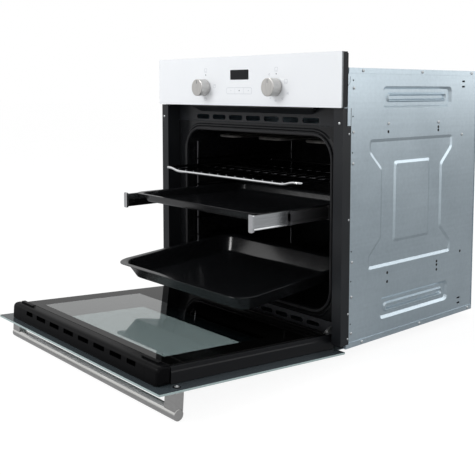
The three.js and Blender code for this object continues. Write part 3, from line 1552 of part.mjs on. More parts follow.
// Handle: round brushed bar across the full width on two rectangular posts.
const barY = doorFaceY - handleStandoff;
const barZ = doorGlassTop - handleDrop;
piece(door, "handle_bar", rod("x", -halfFront, halfFront, barY, barZ, handleDiameter / 2, 28), stainless);

function handlePost() {
  const post = box(
    halfFront - postWidth, halfFront,
    barY + handleDiameter * 0.15, doorFaceY - seat,
    barZ - postHeight / 2, barZ + postHeight / 2,
  );
  return cut(post, rod("x", 0, halfFront + overlap, barY, barZ, handleDiameter / 2 + seat, 28));
}
pair(door, "handle_post", handlePost(), stainless);

export default oven;
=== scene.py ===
"""A built-in wall oven with its door down, a wire shelf, a tray on runners and a deep pan drawn out."""

import math

import bmesh
import bpy
import numpy as np
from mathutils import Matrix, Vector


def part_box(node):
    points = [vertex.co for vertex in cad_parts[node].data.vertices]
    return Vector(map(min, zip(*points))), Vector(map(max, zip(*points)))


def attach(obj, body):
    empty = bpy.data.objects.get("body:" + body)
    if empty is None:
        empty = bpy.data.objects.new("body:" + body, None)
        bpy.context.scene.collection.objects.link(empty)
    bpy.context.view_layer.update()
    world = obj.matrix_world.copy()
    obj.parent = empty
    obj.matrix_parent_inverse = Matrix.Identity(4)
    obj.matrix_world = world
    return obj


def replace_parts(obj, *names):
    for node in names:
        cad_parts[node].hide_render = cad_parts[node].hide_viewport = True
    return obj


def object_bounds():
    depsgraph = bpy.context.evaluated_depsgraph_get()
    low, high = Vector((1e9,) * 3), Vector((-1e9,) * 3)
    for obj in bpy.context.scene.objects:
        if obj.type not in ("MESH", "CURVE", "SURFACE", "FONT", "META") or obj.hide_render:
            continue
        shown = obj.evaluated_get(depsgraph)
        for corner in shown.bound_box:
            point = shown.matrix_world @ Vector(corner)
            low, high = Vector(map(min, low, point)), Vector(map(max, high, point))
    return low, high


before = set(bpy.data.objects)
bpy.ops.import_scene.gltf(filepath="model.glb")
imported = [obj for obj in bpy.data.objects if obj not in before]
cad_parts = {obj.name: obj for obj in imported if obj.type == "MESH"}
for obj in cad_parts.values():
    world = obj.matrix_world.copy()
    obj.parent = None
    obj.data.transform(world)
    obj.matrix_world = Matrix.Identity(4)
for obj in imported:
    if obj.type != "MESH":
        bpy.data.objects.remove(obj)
cad_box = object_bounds()

# ------------------------------------------------------------------ outer casing
# The casing is folded from hot-dip galvanised sheet: pale blue-grey, satin, with soft
# zinc spangle and faint rolling marks. The panels are screwed and hooked together.


class Value:
    """One socket of a finish. Arithmetic on it adds the Math nodes that do it."""

    def __init__(self, finish, socket):
        self.finish = finish
        self.socket = socket

    def math(self, operation, *values):
        """A Math node's result for these values."""
        return self.finish.node("ShaderNodeMath", {"operation": operation}, *values)

    def __add__(self, other):
        return self.math("ADD", self, other)

    def __sub__(self, other):
        return self.math("SUBTRACT", self, other)

    def __mul__(self, other):
        return self.math("MULTIPLY", self, other)

    def __rsub__(self, other):
        return self.math("SUBTRACT", other, self)

    def __gt__(self, other):
        return self.math("GREATER_THAN", self, other)

    def __lt__(self, other):
        return self.math("LESS_THAN", self, other)

    def __abs__(self):
        return self.math("ABSOLUTE", self)

    __radd__ = __add__
    __rmul__ = __mul__


class Finish:
    """A material built round one Principled shader, whose constants are set on its own sockets.
    Its slot names what the piece is made of; it is kept on the finish, and nothing here reads it."""

    def __init__(self, name, slot, colour, roughness, metallic=0.0, **constants):
        self.slot = slot
        self.material = bpy.data.materials.new(name)
        self.material.use_nodes = True
        self.tree = self.material.node_tree
        self.shader = self.tree.nodes["Principled BSDF"]
        self.put("Base Color", (*colour, 1.0))
        self.put("Roughness", roughness)
        self.put("Metallic", metallic)
        for socket, value in constants.items():
            self.put(socket.replace("_", " "), value)

    def put(self, socket, value):
        """A value or another socket goes into the Principled shader's socket of that name."""
        self.feed(self.shader.inputs[socket], value)

    def feed(self, socket, value):
        """A socket of any node takes a link where the value is another socket, and else a constant."""
        if isinstance(value, Value):
            self.tree.links.new(value.socket, socket)
        else:
            socket.default_value = value

    def node(self, kind, settings=None, *values, output=0, **named):
        """A new node: its settings first, then its inputs in order or by name."""
        node = self.tree.nodes.new(kind)
        for key, value in (settings or {}).items():
            setattr(node, key, value)
        for socket, value in zip(node.inputs, values):
            self.feed(socket, value)
        for key, value in named.items():
            self.feed(node.inputs[key.replace("_", " ")], value)
        return Value(self, node.outputs[output])

    def place(self):
        """Object coordinates, in metres in the oven's own frame."""
        return self.node("ShaderNodeTexCoord", output="Object")

    def axes(self):
        """The three object coordinates as separate values."""
        split = self.node("ShaderNodeSeparateXYZ", None, self.place())
        return [Value(self, output) for output in split.socket.node.outputs]

    def stretched(self, x, y, z):
        """Object coordinates scaled along each axis, for a pattern that is longer one way."""
        return self.node("ShaderNodeMapping", None, Vector=self.place(), Scale=(x, y, z))

    def facing(self, direction):
        """normal . direction, in the oven's frame: 1 where the surface faces it, 0 where it is side on."""
        normal = self.node("ShaderNodeTexCoord", output="Normal")
        settings = {"operation": "DOT_PRODUCT"}
        return self.node("ShaderNodeVectorMath", settings, normal, direction, output="Value")

    def noise(self, scale, detail=2.0, place=None):
        """Values from 0 to 1 that vary about scale times in a metre."""
        place = place or self.place()
        return self.node("ShaderNodeTexNoise", None, Vector=place, Scale=scale, Detail=detail)

    def mix(self, share, first, second):
        """Colours blended by share: 0 gives the first and 1 the second."""
        node = self.tree.nodes.new("ShaderNodeMix")
        node.data_type = "RGBA"
        for index, value in ((0, share), (6, first), (7, second)):
            self.feed(node.inputs[index], (*value, 1.0) if isinstance(value, tuple) else value)
        return Value(self, node.outputs[2])

    def bump(self, height, distance, strength=1.0):
        """Relief of that distance, in metres, into the shader's normal."""
        inputs = {"Height": height, "Distance": distance, "Strength": strength}
        self.put("Normal", self.node("ShaderNodeBump", None, **inputs))

    def surface(self):
        """The Principled shader as a value, to blend with another shader."""
        return Value(self, self.shader.outputs[0])

    def blend(self, share, first, second):
        """The surface becomes a blend of two shaders: a share of 0 gives the first and 1 the second."""
        blended = self.node("ShaderNodeMixShader", None, share, first, second)
        output = next(node for node in self.tree.nodes if node.type == "OUTPUT_MATERIAL")
        self.feed(output.inputs["Surface"], blended)


def paint(finish, *names):
    """The CAD nodes of these names take the finish."""
    for name in names:
        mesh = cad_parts[name].data
        mesh.materials.clear()
        mesh.materials.append(finish.material)


def both(*names):
    """The right and left node of each name."""
    return [f"{name}_{side}" for name in names for side in ("right", "left")]


galvanised = Finish("galvanised sheet", "galvanised", (0.48, 0.57, 0.62), 0.34, 0.85)
spangle = galvanised.noise(130.0, 1.0)
cloud = galvanised.noise(5.0, 3.0)
rolling = galvanised.noise(60.0, 2.0, galvanised.stretched(1.0, 0.08, 3.0))
tone = (cloud - 0.5) * 0.9 + (spangle - 0.5) * 0.3 + (rolling - 0.5) * 0.25 + 0.5
galvanised.put("Base Color", galvanised.mix(tone, (0.40, 0.475, 0.525), (0.66, 0.755, 0.815)))
galvanised.put("Roughness", 0.29 + cloud * 0.06)
galvanised.bump(cloud, 0.00010, 0.2)
paint(galvanised, *both("panel_bracket"), "top_panel", "bottom_panel", "rear_panel",
      "rear_cover", "control_box")


def softened(name, width, finish, body, sharp=35, segments=2):
    """A CAD piece with its triangles merged into faces, and its edges that turn by more than the sharp
    angle, in degrees, rounded to that width."""
    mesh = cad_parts[name].data.copy()
    shape = bmesh.new()
    shape.from_mesh(mesh)
    bmesh.ops.remove_doubles(shape, verts=shape.verts, dist=2e-6)
    bmesh.ops.dissolve_limit(shape, angle_limit=math.radians(0.5), verts=shape.verts, edges=shape.edges)
    shape.to_mesh(mesh)
    shape.free()
    mesh.materials.clear()
    mesh.materials.append(finish.material)
    mesh.polygons.foreach_set("use_smooth", np.full(len(mesh.polygons), True))
    mesh.set_sharp_from_angle(angle=math.radians(sharp))
    piece = bpy.data.objects.new(f"{name}_finished", mesh)
    bpy.context.collection.objects.link(piece)
    bevel = piece.modifiers.new("rounded edges", "BEVEL")
    bevel.width = width
    bevel.segments = segments
    bevel.limit_method = "ANGLE"
    bevel.angle_limit = math.radians(sharp)
    bevel.use_clamp_overlap = True
    weighted = piece.modifiers.new("weighted normals", "WEIGHTED_NORMAL")
    weighted.keep_sharp = False
    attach(piece, body)
    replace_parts(piece, name)


for name in both("side_panel"):
    softened(name, 0.0010, galvanised, "chassis", sharp=10, segments=3)
for name in both("corner_rail"):
    softened(name, 0.0004, galvanised, "chassis")


def skin(name, grids, finish, body, smooth=True):
    """One mesh from grids of points[i, j], each closed round j and capped at both ends of i."""
    vertices, faces, start = [], [], 0
    for points in grids:
        rows, columns = points.shape[:2]
        index = start + np.arange(rows * columns).reshape(rows, columns)
        following = np.roll(index, -1, axis=1)
        quads = np.stack([index[:-1], following[:-1], following[1:], index[1:]], axis=-1)
        faces.extend(quads.reshape(-1, 4).tolist())
        faces.append(index[0][::-1].tolist())
        faces.append(index[-1].tolist())
        vertices.append(points.reshape(-1, 3))
        start += rows * columns
    mesh = bpy.data.meshes.new(name)
    mesh.from_pydata(np.concatenate(vertices), [], faces)
    mesh.materials.append(finish.material)
    mesh.validate()
    mesh.polygons.foreach_set("use_smooth", np.full(len(mesh.polygons), smooth))
    if smooth:
        mesh.set_sharp_from_angle(angle=math.radians(40))
    piece = bpy.data.objects.new(name, mesh)
    bpy.context.collection.objects.link(piece)
    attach(piece, body)
    return piece


def turned(profile, centre, along, across, sides):
    """A profile of (radius, distance) rows turned about an axis: centre + along * distance
    + radius * (cos t * across + sin t * along x across)."""
    along, across = np.array(along, float), np.array(across, float)
    third = np.cross(along, across)
    angle = np.linspace(0, 2 * np.pi, sides, endpoint=False)
    circle = np.cos(angle)[:, None] * across + np.sin(angle)[:, None] * third
    profile = np.array(profile, float)
    axis_points = np.array(centre, float) + profile[:, 1, None, None] * along
    return axis_points + profile[:, 0, None, None] * circle[None]


screw_steel = Finish("screw steel", "hinge_steel", (0.55, 0.57, 0.58), 0.3, 0.9)
screw_wear = screw_steel.noise(900.0, 2.0)
screw_steel.put("Roughness", 0.30 + screw_wear * 0.2)
hole_dark = Finish("shadow of a punched hole", "galvanised", (0.012, 0.013, 0.015), 0.9)
hole_dark.put("Roughness", 0.8 + hole_dark.noise(700.0) * 0.15)


def screw(radius, place, outwards):
    """A pan-head screw in a face: flat driver recess, domed shoulder and foot, in shares of its radius."""
    profile = [(0.28, 0.30), (0.34, 0.52), (0.72, 0.50), (0.93, 0.34), (1.0, 0.0)]
    return turned(radius * np.array(profile), place, outwards, (0, 0, 1), 16)


def dot(radius, rise):
    """Radius and height of a thin disc with a fine bevel."""
    return [(radius * 0.5, rise), (radius * 0.95, rise), (radius, 0.0)]


def hole(radius, place, outwards):
    """The mouth of a punched hole: a dark disc a tenth of a millimetre thick, a painted shadow of its
    inside.
    """
    return turned(dot(radius, 0.00012), place, outwards, (0, 0, 1), 12)


side_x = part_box("side_panel_right")[1].x
rail_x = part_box("corner_rail_right")[1].x
edge_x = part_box("top_panel")[1].x
panel_screws = [(0.140, 0.452), (0.4096, 0.420), (0.317, 0.4505)]
panel_holes = [(0.140, 0.435), (0.317, 0.440), (0.317, 0.433), (0.144, 0.137), (0.144, 0.118),
               (0.3217, 0.136), (0.3217, 0.128), (0.3217, 0.117), (0.414, 0.147)]
rail_screw_y, rail_screws = 0.0275, [0.525, 0.438, 0.375, 0.176, 0.105, 0.030]
rail_hole_y, rail_holes = 0.026, [0.049, 0.137, 0.198, 0.397, 0.469, 0.540]
top_edge_z, bottom_edge_z, bottom_shift = 0.5595, 0.0055, 0.007
edge_screws = [0.055, 0.252, 0.442]
screws, holes = [], []
for side in (1, -1):
    out = (side, 0, 0)
    for y, z in panel_screws:
        screws.append(screw(0.0036, (side * side_x, y, z), out))
    for z in rail_screws:
        screws.append(screw(0.0032, (side * rail_x, rail_screw_y, z), out))
    for y in edge_screws:
        screws.append(screw(0.0034, (side * edge_x, y, top_edge_z), out))
        screws.append(screw(0.0034, (side * edge_x, y + bottom_shift, bottom_edge_z), out))
    for y, z in panel_holes:
        holes.append(hole(0.0033, (side * side_x, y, z), out))
    for z in rail_holes:
        holes.append(hole(0.0032, (side * side_x, rail_hole_y, z), out))
skin("casing_screws", screws, screw_steel, "chassis")
# Painted shadow: dark discs over the panels stand for the shade inside the punched holes.
skin("casing_holes", holes, hole_dark, "chassis")

# ------------------------------------------------------------------ front frame
# Folded columns either side of the mouth, the slotted faces above and below it and the hood
# that turns the cooling air are enamelled black. Zinc-plated screws hold them. The lower grille's
# black is painted lighter, as painted light on its ribs in the door's shade.

black_enamel = Finish("black enamel", "black_enamel", (0.012, 0.013, 0.015), 0.30, Specular_IOR_Level=0.32)
enamel_cloud = black_enamel.noise(14.0, 2.0)
black_enamel.put("Base Color", black_enamel.mix(enamel_cloud, (0.009, 0.010, 0.012), (0.016, 0.018, 0.021)))
black_enamel.put("Roughness", 0.29 + enamel_cloud * 0.08)
black_enamel.bump(black_enamel.noise(420.0, 1.0), 0.00003, 0.5)
paint(black_enamel, *both("front_column"), "air_outlet_hood")
softened("upper_front_panel", 0.0004, black_enamel, "chassis")
# Painted light: the lower grille is a lighter copy of the black enamel, so its ribs show in the door's
# shade.
lit_grille_enamel = Finish("grille enamel", "black_enamel", (0.05, 0.052, 0.058), 0.32, Specular_IOR_Level=0.5)
grille_cloud = lit_grille_enamel.noise(14.0, 2.0)
lit_grille_enamel.put("Base Color", lit_grille_enamel.mix(grille_cloud, (0.045, 0.047, 0.053), (0.06, 0.063, 0.07)))
lit_grille_enamel.put("Roughness", 0.29 + grille_cloud * 0.08)
softened("lower_grille", 0.0008, lit_grille_enamel, "chassis")

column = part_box("front_column_right")
mounting_x, mounting_z = 0.287, 0.457
column_places = [(-0.006, 0.4363), (-0.0045, 0.268), (-0.0034, 0.0798), (-0.0034, 0.0295)]
column_screws = []
for side in (1, -1):
    for y, z in column_places:
        column_screws.append(screw(0.0022, (side * column[1].x, y, z), (side, 0, 0)))
    column_screws.append(screw(0.0029, (side * mounting_x, column[0].y, mounting_z), (0, -1, 0)))
skin("column_screws", column_screws, screw_steel, "chassis")

# ------------------------------------------------------------------ door hinges
# Each hinge is a claw fixed in the front frame and a case in the door that turns on its pin. Both
# are pressed steel, zinc plated.

hinge_steel = Finish("zinc-plated hinge steel", "hinge_steel", (0.40, 0.41, 0.42), 0.38, 0.9)
plating = hinge_steel.noise(60.0, 3.0)
hinge_steel.put("Base Color", hinge_steel.mix(plating, (0.30, 0.31, 0.33), (0.50, 0.51, 0.50)))
hinge_steel.put("Roughness", 0.3 + plating * 0.2)
paint(hinge_steel, *both("hinge_claw", "hinge_case"))

# ------------------------------------------------------------------ cavity
# The cavity is one enamelled box, fired glossy black, with a pressed bead round its mouth.
# A braided glass-fibre rope seals it against the inner door glass.

cavity_enamel = Finish("cavity enamel", "cavity_enamel", (0.008, 0.008, 0.009), 0.2, Specular_IOR_Level=0.4)
fired = cavity_enamel.noise(30.0, 3.0)
fleck = cavity_enamel.noise(900.0, 0.0) > 0.72
cavity_enamel.put("Base Color", cavity_enamel.mix(fleck, (0.007, 0.0075, 0.0085), (0.03, 0.031, 0.034)))
cavity_enamel.put("Roughness", 0.13 + fired * 0.12)
cavity_enamel.bump(fired, 0.0001, 0.4)
paint(cavity_enamel, "cavity", "cavity_rear_wall", "fan_cover")

rope = Finish("braided rope seal", "rope_seal", (0.05, 0.05, 0.052), 0.9)
braid = rope.node("ShaderNodeTexWave", {"wave_type": "BANDS", "bands_direction": "DIAGONAL"},
                  Vector=rope.place(), Scale=260.0, Distortion=1.5)
rope.put("Base Color", rope.mix(braid, (0.012, 0.012, 0.014), (0.042, 0.043, 0.046)))
rope.bump(braid, 0.0005)
paint(rope, "door_gasket")

# ------------------------------------------------------------------ fan and thermostat
# The hot-air fan is a bladed wheel on the shaft of a motor behind the cavity's rear wall, and the
# thermostat sits behind its knob. All three are finished as rough light-metal castings.

cast = Finish("motor and thermostat casting", "cast_metal", (0.45, 0.46, 0.47), 0.5, 0.8)
cast.put("Roughness", 0.42 + cast.noise(220.0, 3.0) * 0.2)
cast.bump(cast.noise(500.0, 2.0), 0.00008)
paint(cast, "fan_motor", "fan_impeller", "thermostat")

# ------------------------------------------------------------------ grill element and lamp
# One length of drawn steel sheath is bent in hairpins under the roof of the cavity, and its ends
# pass through a small plate on the rear wall. The lamp's pressed glass lens is ribbed in rings.

sheath = Finish("heating element sheath", "element_sheath", (0.30, 0.29, 0.27), 0.3, 0.9)
scale_marks = sheath.noise(80.0, 3.0)
sheath.put("Base Color", sheath.mix(scale_marks, (0.17, 0.16, 0.15), (0.46, 0.45, 0.43)))
sheath.put("Roughness", 0.29 + scale_marks * 0.2)
paint(sheath, "grill_element")

lens = Finish("lamp lens", "lamp_glass", (0.75, 0.73, 0.66), 0.08, Alpha=0.55)
lens.bump(lens.node("ShaderNodeTexWave", {"wave_type": "RINGS"}, Vector=lens.place(), Scale=60.0), 0.0006)
paint(lens, "oven_lamp")

# ------------------------------------------------------------------ side racks
# Each rack is a ladder of bright plated wire: pairs of level wires, one to carry a tray and one
# to stop it tipping, welded to two uprights that plug into the cavity wall. Behind the shelf's front
# wire the plating is painted dark, a painted reflection of the black cavity that is all it mirrors there.

chrome = Finish("bright plating", "chrome", (0.72, 0.73, 0.75), 0.14, 1.0)
film = chrome.noise(120.0, 2.0)
shelf_front_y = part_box("wire_shelf")[0].y
# Painted reflection: the plating's colour turns dark behind the shelf's front wire.
painted_reflection_behind_wire = chrome.axes()[1] > shelf_front_y + 0.009
plated = chrome.mix(film, (0.62, 0.63, 0.65), (0.80, 0.81, 0.82))
chrome.put("Base Color", chrome.mix(painted_reflection_behind_wire, plated, (0.10, 0.10, 0.105)))
chrome.put("Roughness", 0.10 + film * 0.12)
paint(chrome, *both("side_rack"))

# ------------------------------------------------------------------ wire shelf
# A frame of 6 mm wire, its front dipped between the sides, carries thirteen long bars, and two
# cross wires tie the bars from below. Everything is spot welded, then plated.


def carried(path, profile, up):
    """A profile of (sideways, upwards) rows carried along a path: path + sideways * side
    + upwards * rise, where side is square to the path and up, and rise to the path and side."""
    path, profile, up = (np.array(a, float) for a in (path, profile, up))
    ahead = np.gradient(path, axis=0)
    side = np.cross(ahead, up)
    side /= np.linalg.norm(side, axis=1, keepdims=True)
    rise = np.cross(side, ahead)
    rise /= np.linalg.norm(rise, axis=1, keepdims=True)
    return path[:, None] + profile[None, :, :1] * side[:, None] + profile[None, :, 1:] * rise[:, None]


def bent(corners, radius, steps=6):
    """The corners joined by straight runs. Each inner corner is a curve that starts a radius before
    it and ends a radius after it: (1 - t)^2 * start + 2 t (1 - t) * corner + t^2 * end."""
    corners = np.array(corners, float)
    t = np.linspace(0, 1, steps + 1)[:, None]
    points = [corners[:1]]
    for before, corner, after in zip(corners, corners[1:], corners[2:]):
        back, on = before - corner, after - corner
        start = corner + back * min(0.48, radius / np.linalg.norm(back))
        end = corner + on * min(0.48, radius / np.linalg.norm(on))
        points.append((1 - t) ** 2 * start + 2 * t * (1 - t) * corner + t**2 * end)
    points.append(corners[-1:])
    return np.concatenate(points)


def wire(corners, diameter, sides=12):
    """A round wire along corners bent to a 9 mm radius."""
    angle = np.linspace(0, 2 * np.pi, sides, endpoint=False)
    section = diameter / 2 * np.stack([np.cos(angle), np.sin(angle)], axis=1)
    return carried(bent(corners, 0.009), section, (0, 0, 1))


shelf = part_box("wire_shelf")
frame_wire, bar_wire, cross_wire = 0.006, 0.003, 0.004
half_width = shelf[1].x - frame_wire / 2
front_y, rear_y = shelf[0].y + frame_wire / 2, shelf[1].y - frame_wire / 2
high_z = shelf[1].z - frame_wire / 2
low_z = high_z - 0.006
bar_pitch = 0.029
bar_z = low_z + frame_wire / 2 + bar_wire / 2 - 0.0005
cross_z = bar_z - 0.002
loop = [(0, front_y, low_z), (half_width - 0.044, front_y, low_z),
        (half_width - 0.020, front_y, high_z), (half_width, front_y, high_z),
        (half_width, rear_y, high_z), (0, rear_y, high_z)]
wires = [wire(loop, frame_wire), wire([(-x, y, z) for x, y, z in loop[::-1]], frame_wire)]
for x in np.arange(-6, 7) * bar_pitch:
    wires.append(wire([(x, front_y - 0.0012, bar_z), (x, rear_y, bar_z)], bar_wire, sides=8))
for share in (1 / 3, 2 / 3):
    y = front_y + share * (rear_y - front_y)
    end_x = half_width - 0.0014
    wires.append(wire([(-end_x, y, cross_z), (end_x, y, cross_z)], cross_wire))
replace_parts(skin("shelf_wires", wires, chrome, "wire_shelf"), "wire_shelf")

# ------------------------------------------------------------------ telescopic runners
# Three rolled steel bars on each side run in one another on balls and carry the shallow tray. The
# inner one is bright, with painted shade behind the cavity's mouth, and ends in a plated upright cap.

runner_steel = Finish("rolled runner steel", "runner_steel", (0.62, 0.63, 0.64), 0.24, 1.0)
drawn = runner_steel.noise(500.0, 2.0, runner_steel.stretched(1.0, 0.02, 1.0))
mouth_y = -0.020
# Painted shade: behind the cavity's mouth the inner bar's colour turns dark, and it is rougher there.
behind = runner_steel.axes()[1] > mouth_y
bright = runner_steel.mix(drawn, (0.50, 0.51, 0.52), (0.78, 0.79, 0.80))
runner_steel.put("Base Color", runner_steel.mix(behind, bright, (0.05, 0.05, 0.052)))
runner_steel.put("Roughness", 0.12 + drawn * 0.12 + behind * 0.2)
paint(runner_steel, *both("runner_inner"))
paint(chrome, *both("runner_cap"))
# The middle and outer bars are coloured dark steel.
dark_steel = Finish("dark runner steel", "hinge_steel", (0.10, 0.10, 0.105), 0.35, 0.85)
dark_steel.put("Roughness", 0.30 + dark_steel.noise(90.0) * 0.2)
paint(dark_steel, *both("runner_middle", "runner_outer"))

# ------------------------------------------------------------------ shallow tray and deep pan
# Each is drawn from one sheet of steel and enamelled black: flat floor, leaning walls with bends
# and a flat rim all round. The deep pan is drawn out and tipped about the far centre of its arc.

pan_enamel = Finish("pan enamel", "tray_enamel", (0.008, 0.0085, 0.010), 0.2, Specular_IOR_Level=0.8)
pan_fleck = pan_enamel.noise(1400.0, 0.0) > 0.70
pan_flow = pan_enamel.noise(26.0, 2.0)
pan_enamel.put("Base Color", pan_enamel.mix(pan_fleck, (0.006, 0.0065, 0.0075), (0.035, 0.037, 0.04)))
pan_enamel.put("Roughness", 0.14 + pan_flow * 0.12)
pan_enamel.bump(pan_flow, 0.00012, 0.5)
sheet = 0.0012


def drawn_pan(half_width, half_length, middle_y, profile, corner):
    """Rings of a rounded rectangle that shrink as the profile of (inset, height) rows goes in:
    corner centre + radius * (cos a, sin a), with the radius at each inset corner - 0.6 * inset."""
    inset, height = np.array(profile, float).T
    quarter = np.linspace(0, np.pi / 2, 9)
    angle = (np.arange(4)[:, None] * np.pi / 2 + quarter).ravel()
    side_x = np.repeat([1, -1, -1, 1], len(quarter))
    side_y = np.repeat([1, 1, -1, -1], len(quarter))
    radius = (corner - 0.6 * inset)[:, None]
    x = side_x * (half_width - inset[:, None] - radius) + radius * np.cos(angle)
    y = side_y * (half_length - inset[:, None] - radius) + radius * np.sin(angle)
    return np.stack([x, middle_y + y, np.broadcast_to(height[:, None], x.shape)], axis=-1)


def pan_profile(rim, draft, rim_z, depth):
    """Inset and height along the sheet's upper face from the floor to the rim's edge, then back along
    its underside. The bends are rounded, and the two faces stay a sheet apart."""
    floor_z = rim_z - depth
    foot = rim + draft
    corners = [(foot + 0.022, floor_z, 0), (foot, floor_z, 0), (rim + 0.0006, rim_z, 0), (0, rim_z, 0)]
    line = bent(corners, 0.0055, 5)[:, :2]
    ahead = np.gradient(line, axis=0)
    normal = np.stack([-ahead[:, 1], ahead[:, 0]], axis=1) / np.linalg.norm(ahead, axis=1, keepdims=True)
    half = sheet / 2
    upper, lower = line - normal * half, line + normal * half
    if upper[0, 1] < lower[0, 1]:
        upper, lower = lower, upper
    return np.concatenate([upper, lower[::-1]]) + (0, half)


tray_low, tray_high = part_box("shallow_tray")
tray_half_length, tray_y = (tray_high.y - tray_low.y) / 2, (tray_low.y + tray_high.y) / 2
tray_profile = pan_profile(rim=0.011, draft=0.009, rim_z=tray_high.z - sheet, depth=0.019)
tray_points = drawn_pan(tray_high.x, tray_half_length, tray_y, tray_profile, corner=0.030)
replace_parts(skin("enamelled_tray", [tray_points], pan_enamel, "tray"), "shallow_tray")

pan_half_width, pan_length, pan_rim_z = 0.2235, 0.342, 0.1485
level_y, tilt = 0.233, math.radians(4.5)
arc_y, arc_z = 0.16411, -3.41660
deep_profile = pan_profile(rim=0.013, draft=0.020, rim_z=pan_rim_z, depth=0.037)
level_points = drawn_pan(pan_half_width, pan_length / 2, level_y, deep_profile, corner=0.042)
away = level_points - (0, arc_y, arc_z)
pan_points = np.stack([
    away[..., 0],
    arc_y + math.cos(tilt) * away[..., 1] - math.sin(tilt) * away[..., 2],
    arc_z + math.sin(tilt) * away[..., 1] + math.cos(tilt) * away[..., 2],
], axis=-1)
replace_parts(skin("enamelled_pan", [pan_points], pan_enamel, "deep_pan"), "deep_pan")

# ------------------------------------------------------------------ control panel
# A pane of clear glass with ground edges, painted white on its back, is bonded to a black moulded
# carrier. The marks and touch keys are printed, and the display is a black window. The selector
# switch and the terminal box are of the carrier's black plastic.

white_glass = Finish("white-backed glass", "white_glass", (0.93, 0.945, 0.965), 0.35,
                     Coat_Weight=1.0, Coat_Roughness=0.03)
paint_depth = white_glass.noise(3.0, 2.0)
painted_white = white_glass.mix(paint_depth, (0.92, 0.95, 0.99), (0.945, 0.97, 1.0))
ground_edge = abs(white_glass.facing((0.0, -1.0, 0.0))) < 0.5
white_glass.put("Base Color", white_glass.mix(ground_edge, painted_white, (0.16, 0.19, 0.20)))
paint(white_glass, "control_panel_glass")
window_glass = Finish("display window", "black_glass", (0.006, 0.007, 0.009), 0.12, Specular_IOR_Level=0.18)
window_glass.put("Roughness", 0.1 + window_glass.noise(40.0) * 0.05)
paint(window_glass, "display_window")

moulding = Finish("black moulding", "black_plastic", (0.009, 0.010, 0.012), 0.4, Specular_IOR_Level=0.18)
grain = moulding.noise(1600.0, 2.0)
moulding.put("Roughness", 0.34 + grain * 0.14)
moulding.bump(grain, 0.00003, 0.6)
paint(moulding, "control_panel_carrier", "selector_switch", "terminal_box")

print_grey = Finish("printed marks", "white_glass", (0.42, 0.45, 0.50), 0.5)
print_grey.put("Base Color", print_grey.mix(print_grey.noise(800.0), (0.40, 0.43, 0.48), (0.46, 0.49, 0.54)))
print_dark = Finish("printed dark marks", "white_glass", (0.05, 0.06, 0.09), 0.5)
print_dark.put("Roughness", 0.45 + print_dark.noise(500.0) * 0.1)
panel_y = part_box("control_panel_glass")[0].y
ink = 0.00006


def stroke(points, width, closed=False):
    """A printed line of that width through (x, z) points on the panel's face."""
    path = np.array([(x, panel_y - ink / 2, z) for x, z in points], float)
    section = [(-width / 2, -ink / 2), (width / 2, -ink / 2), (width / 2, ink / 2), (-width / 2, ink / 2)]
    if closed:
        path = np.concatenate([path, path[:1]])
    return carried(path, section, (0, -1, 0))


def outline(x, z, width, height, radius=0.0015):
    """The (x, z) points of a rounded box: each corner's centre + radius * (cos a, sin a)."""
    quarter = np.linspace(0, np.pi / 2, 5)
    angle = (np.arange(4)[:, None] * np.pi / 2 + quarter).ravel()
    sx = np.repeat([1, -1, -1, 1], 5) * (width / 2 - radius)
    sz = np.repeat([1, 1, -1, -1], 5) * (height / 2 - radius)
    return np.stack([x + sx + radius * np.cos(angle), z + sz + radius * np.sin(angle)], axis=1)


axis_z, knob_x = 0.527, 0.117
fine = 0.0005
upper_signs = [(-knob_x + 0.002, 0.5657), (-knob_x - 0.034, 0.530),
               (knob_x + 0.001, 0.564), (knob_x + 0.0296, 0.5387)]
lower_signs = [(-knob_x + 0.034, 0.530), (-knob_x + 0.0012, 0.5009)]
scale_numbers = [(-0.0206, 0.0267), (0.035, -0.0127), (0.0196, -0.0234), (-0.001, -0.028), (-0.016, -0.0226)]
key_dividers, key_z = (-0.013, 0.016), 0.520
minus_x, plus_x, stroke_length = -0.028, 0.030, 0.0035
start_dots = [(knob_x + 0.001, 0.5548), (-knob_x + 0.002, 0.5555), (0.0018, 0.520)]
marks, dark_marks = [], []
for x, z in upper_signs:
    marks.append(stroke(outline(x, z, 0.0085, 0.0085), fine, closed=True))
    marks.append(stroke([(x - 0.0025, z - 0.002), (x + 0.0025, z - 0.002)], fine))
for x, z in lower_signs:
    marks.append(stroke(outline(x, z, 0.008, 0.007), fine, closed=True))
    marks.append(stroke([(x - 0.0022, z + 0.0012), (x + 0.0022, z + 0.0012)], fine))
for x, z in scale_numbers:
    centre_x, centre_z = knob_x + x, axis_z + z
    marks.append(stroke([(centre_x - 0.002, centre_z - 0.002), (centre_x - 0.002, centre_z + 0.002)], fine))
    marks.append(stroke(outline(centre_x + 0.001, centre_z, 0.0024, 0.004, 0.0011), fine, closed=True))
marks.append(stroke(outline(0.001, 0.5196, 0.083, 0.0135, 0.003), fine, closed=True))
for x in key_dividers:
    marks.append(stroke([(x, 0.5135), (x, 0.5257)], 0.0003))
for x in (minus_x, plus_x):
    marks.append(stroke([(x, key_z), (x + stroke_length, key_z)], fine))
marks.append(stroke([(0.03175, 0.5183), (0.03175, 0.5218)], fine))
for x, z in start_dots:
    dark_marks.append(turned(dot(0.0014, ink), (x, panel_y, z), (0, -1, 0), (0, 0, 1), 16))
skin("panel_marks", marks, print_grey, "chassis")
skin("panel_dots", dark_marks, print_dark, "chassis")

# ------------------------------------------------------------------ knobs
# Each knob is turned from stainless bar and brushed, with a flat face, a chamfered rim and a fine
# shadow gap at the panel. A printed line on the face points to the dial.

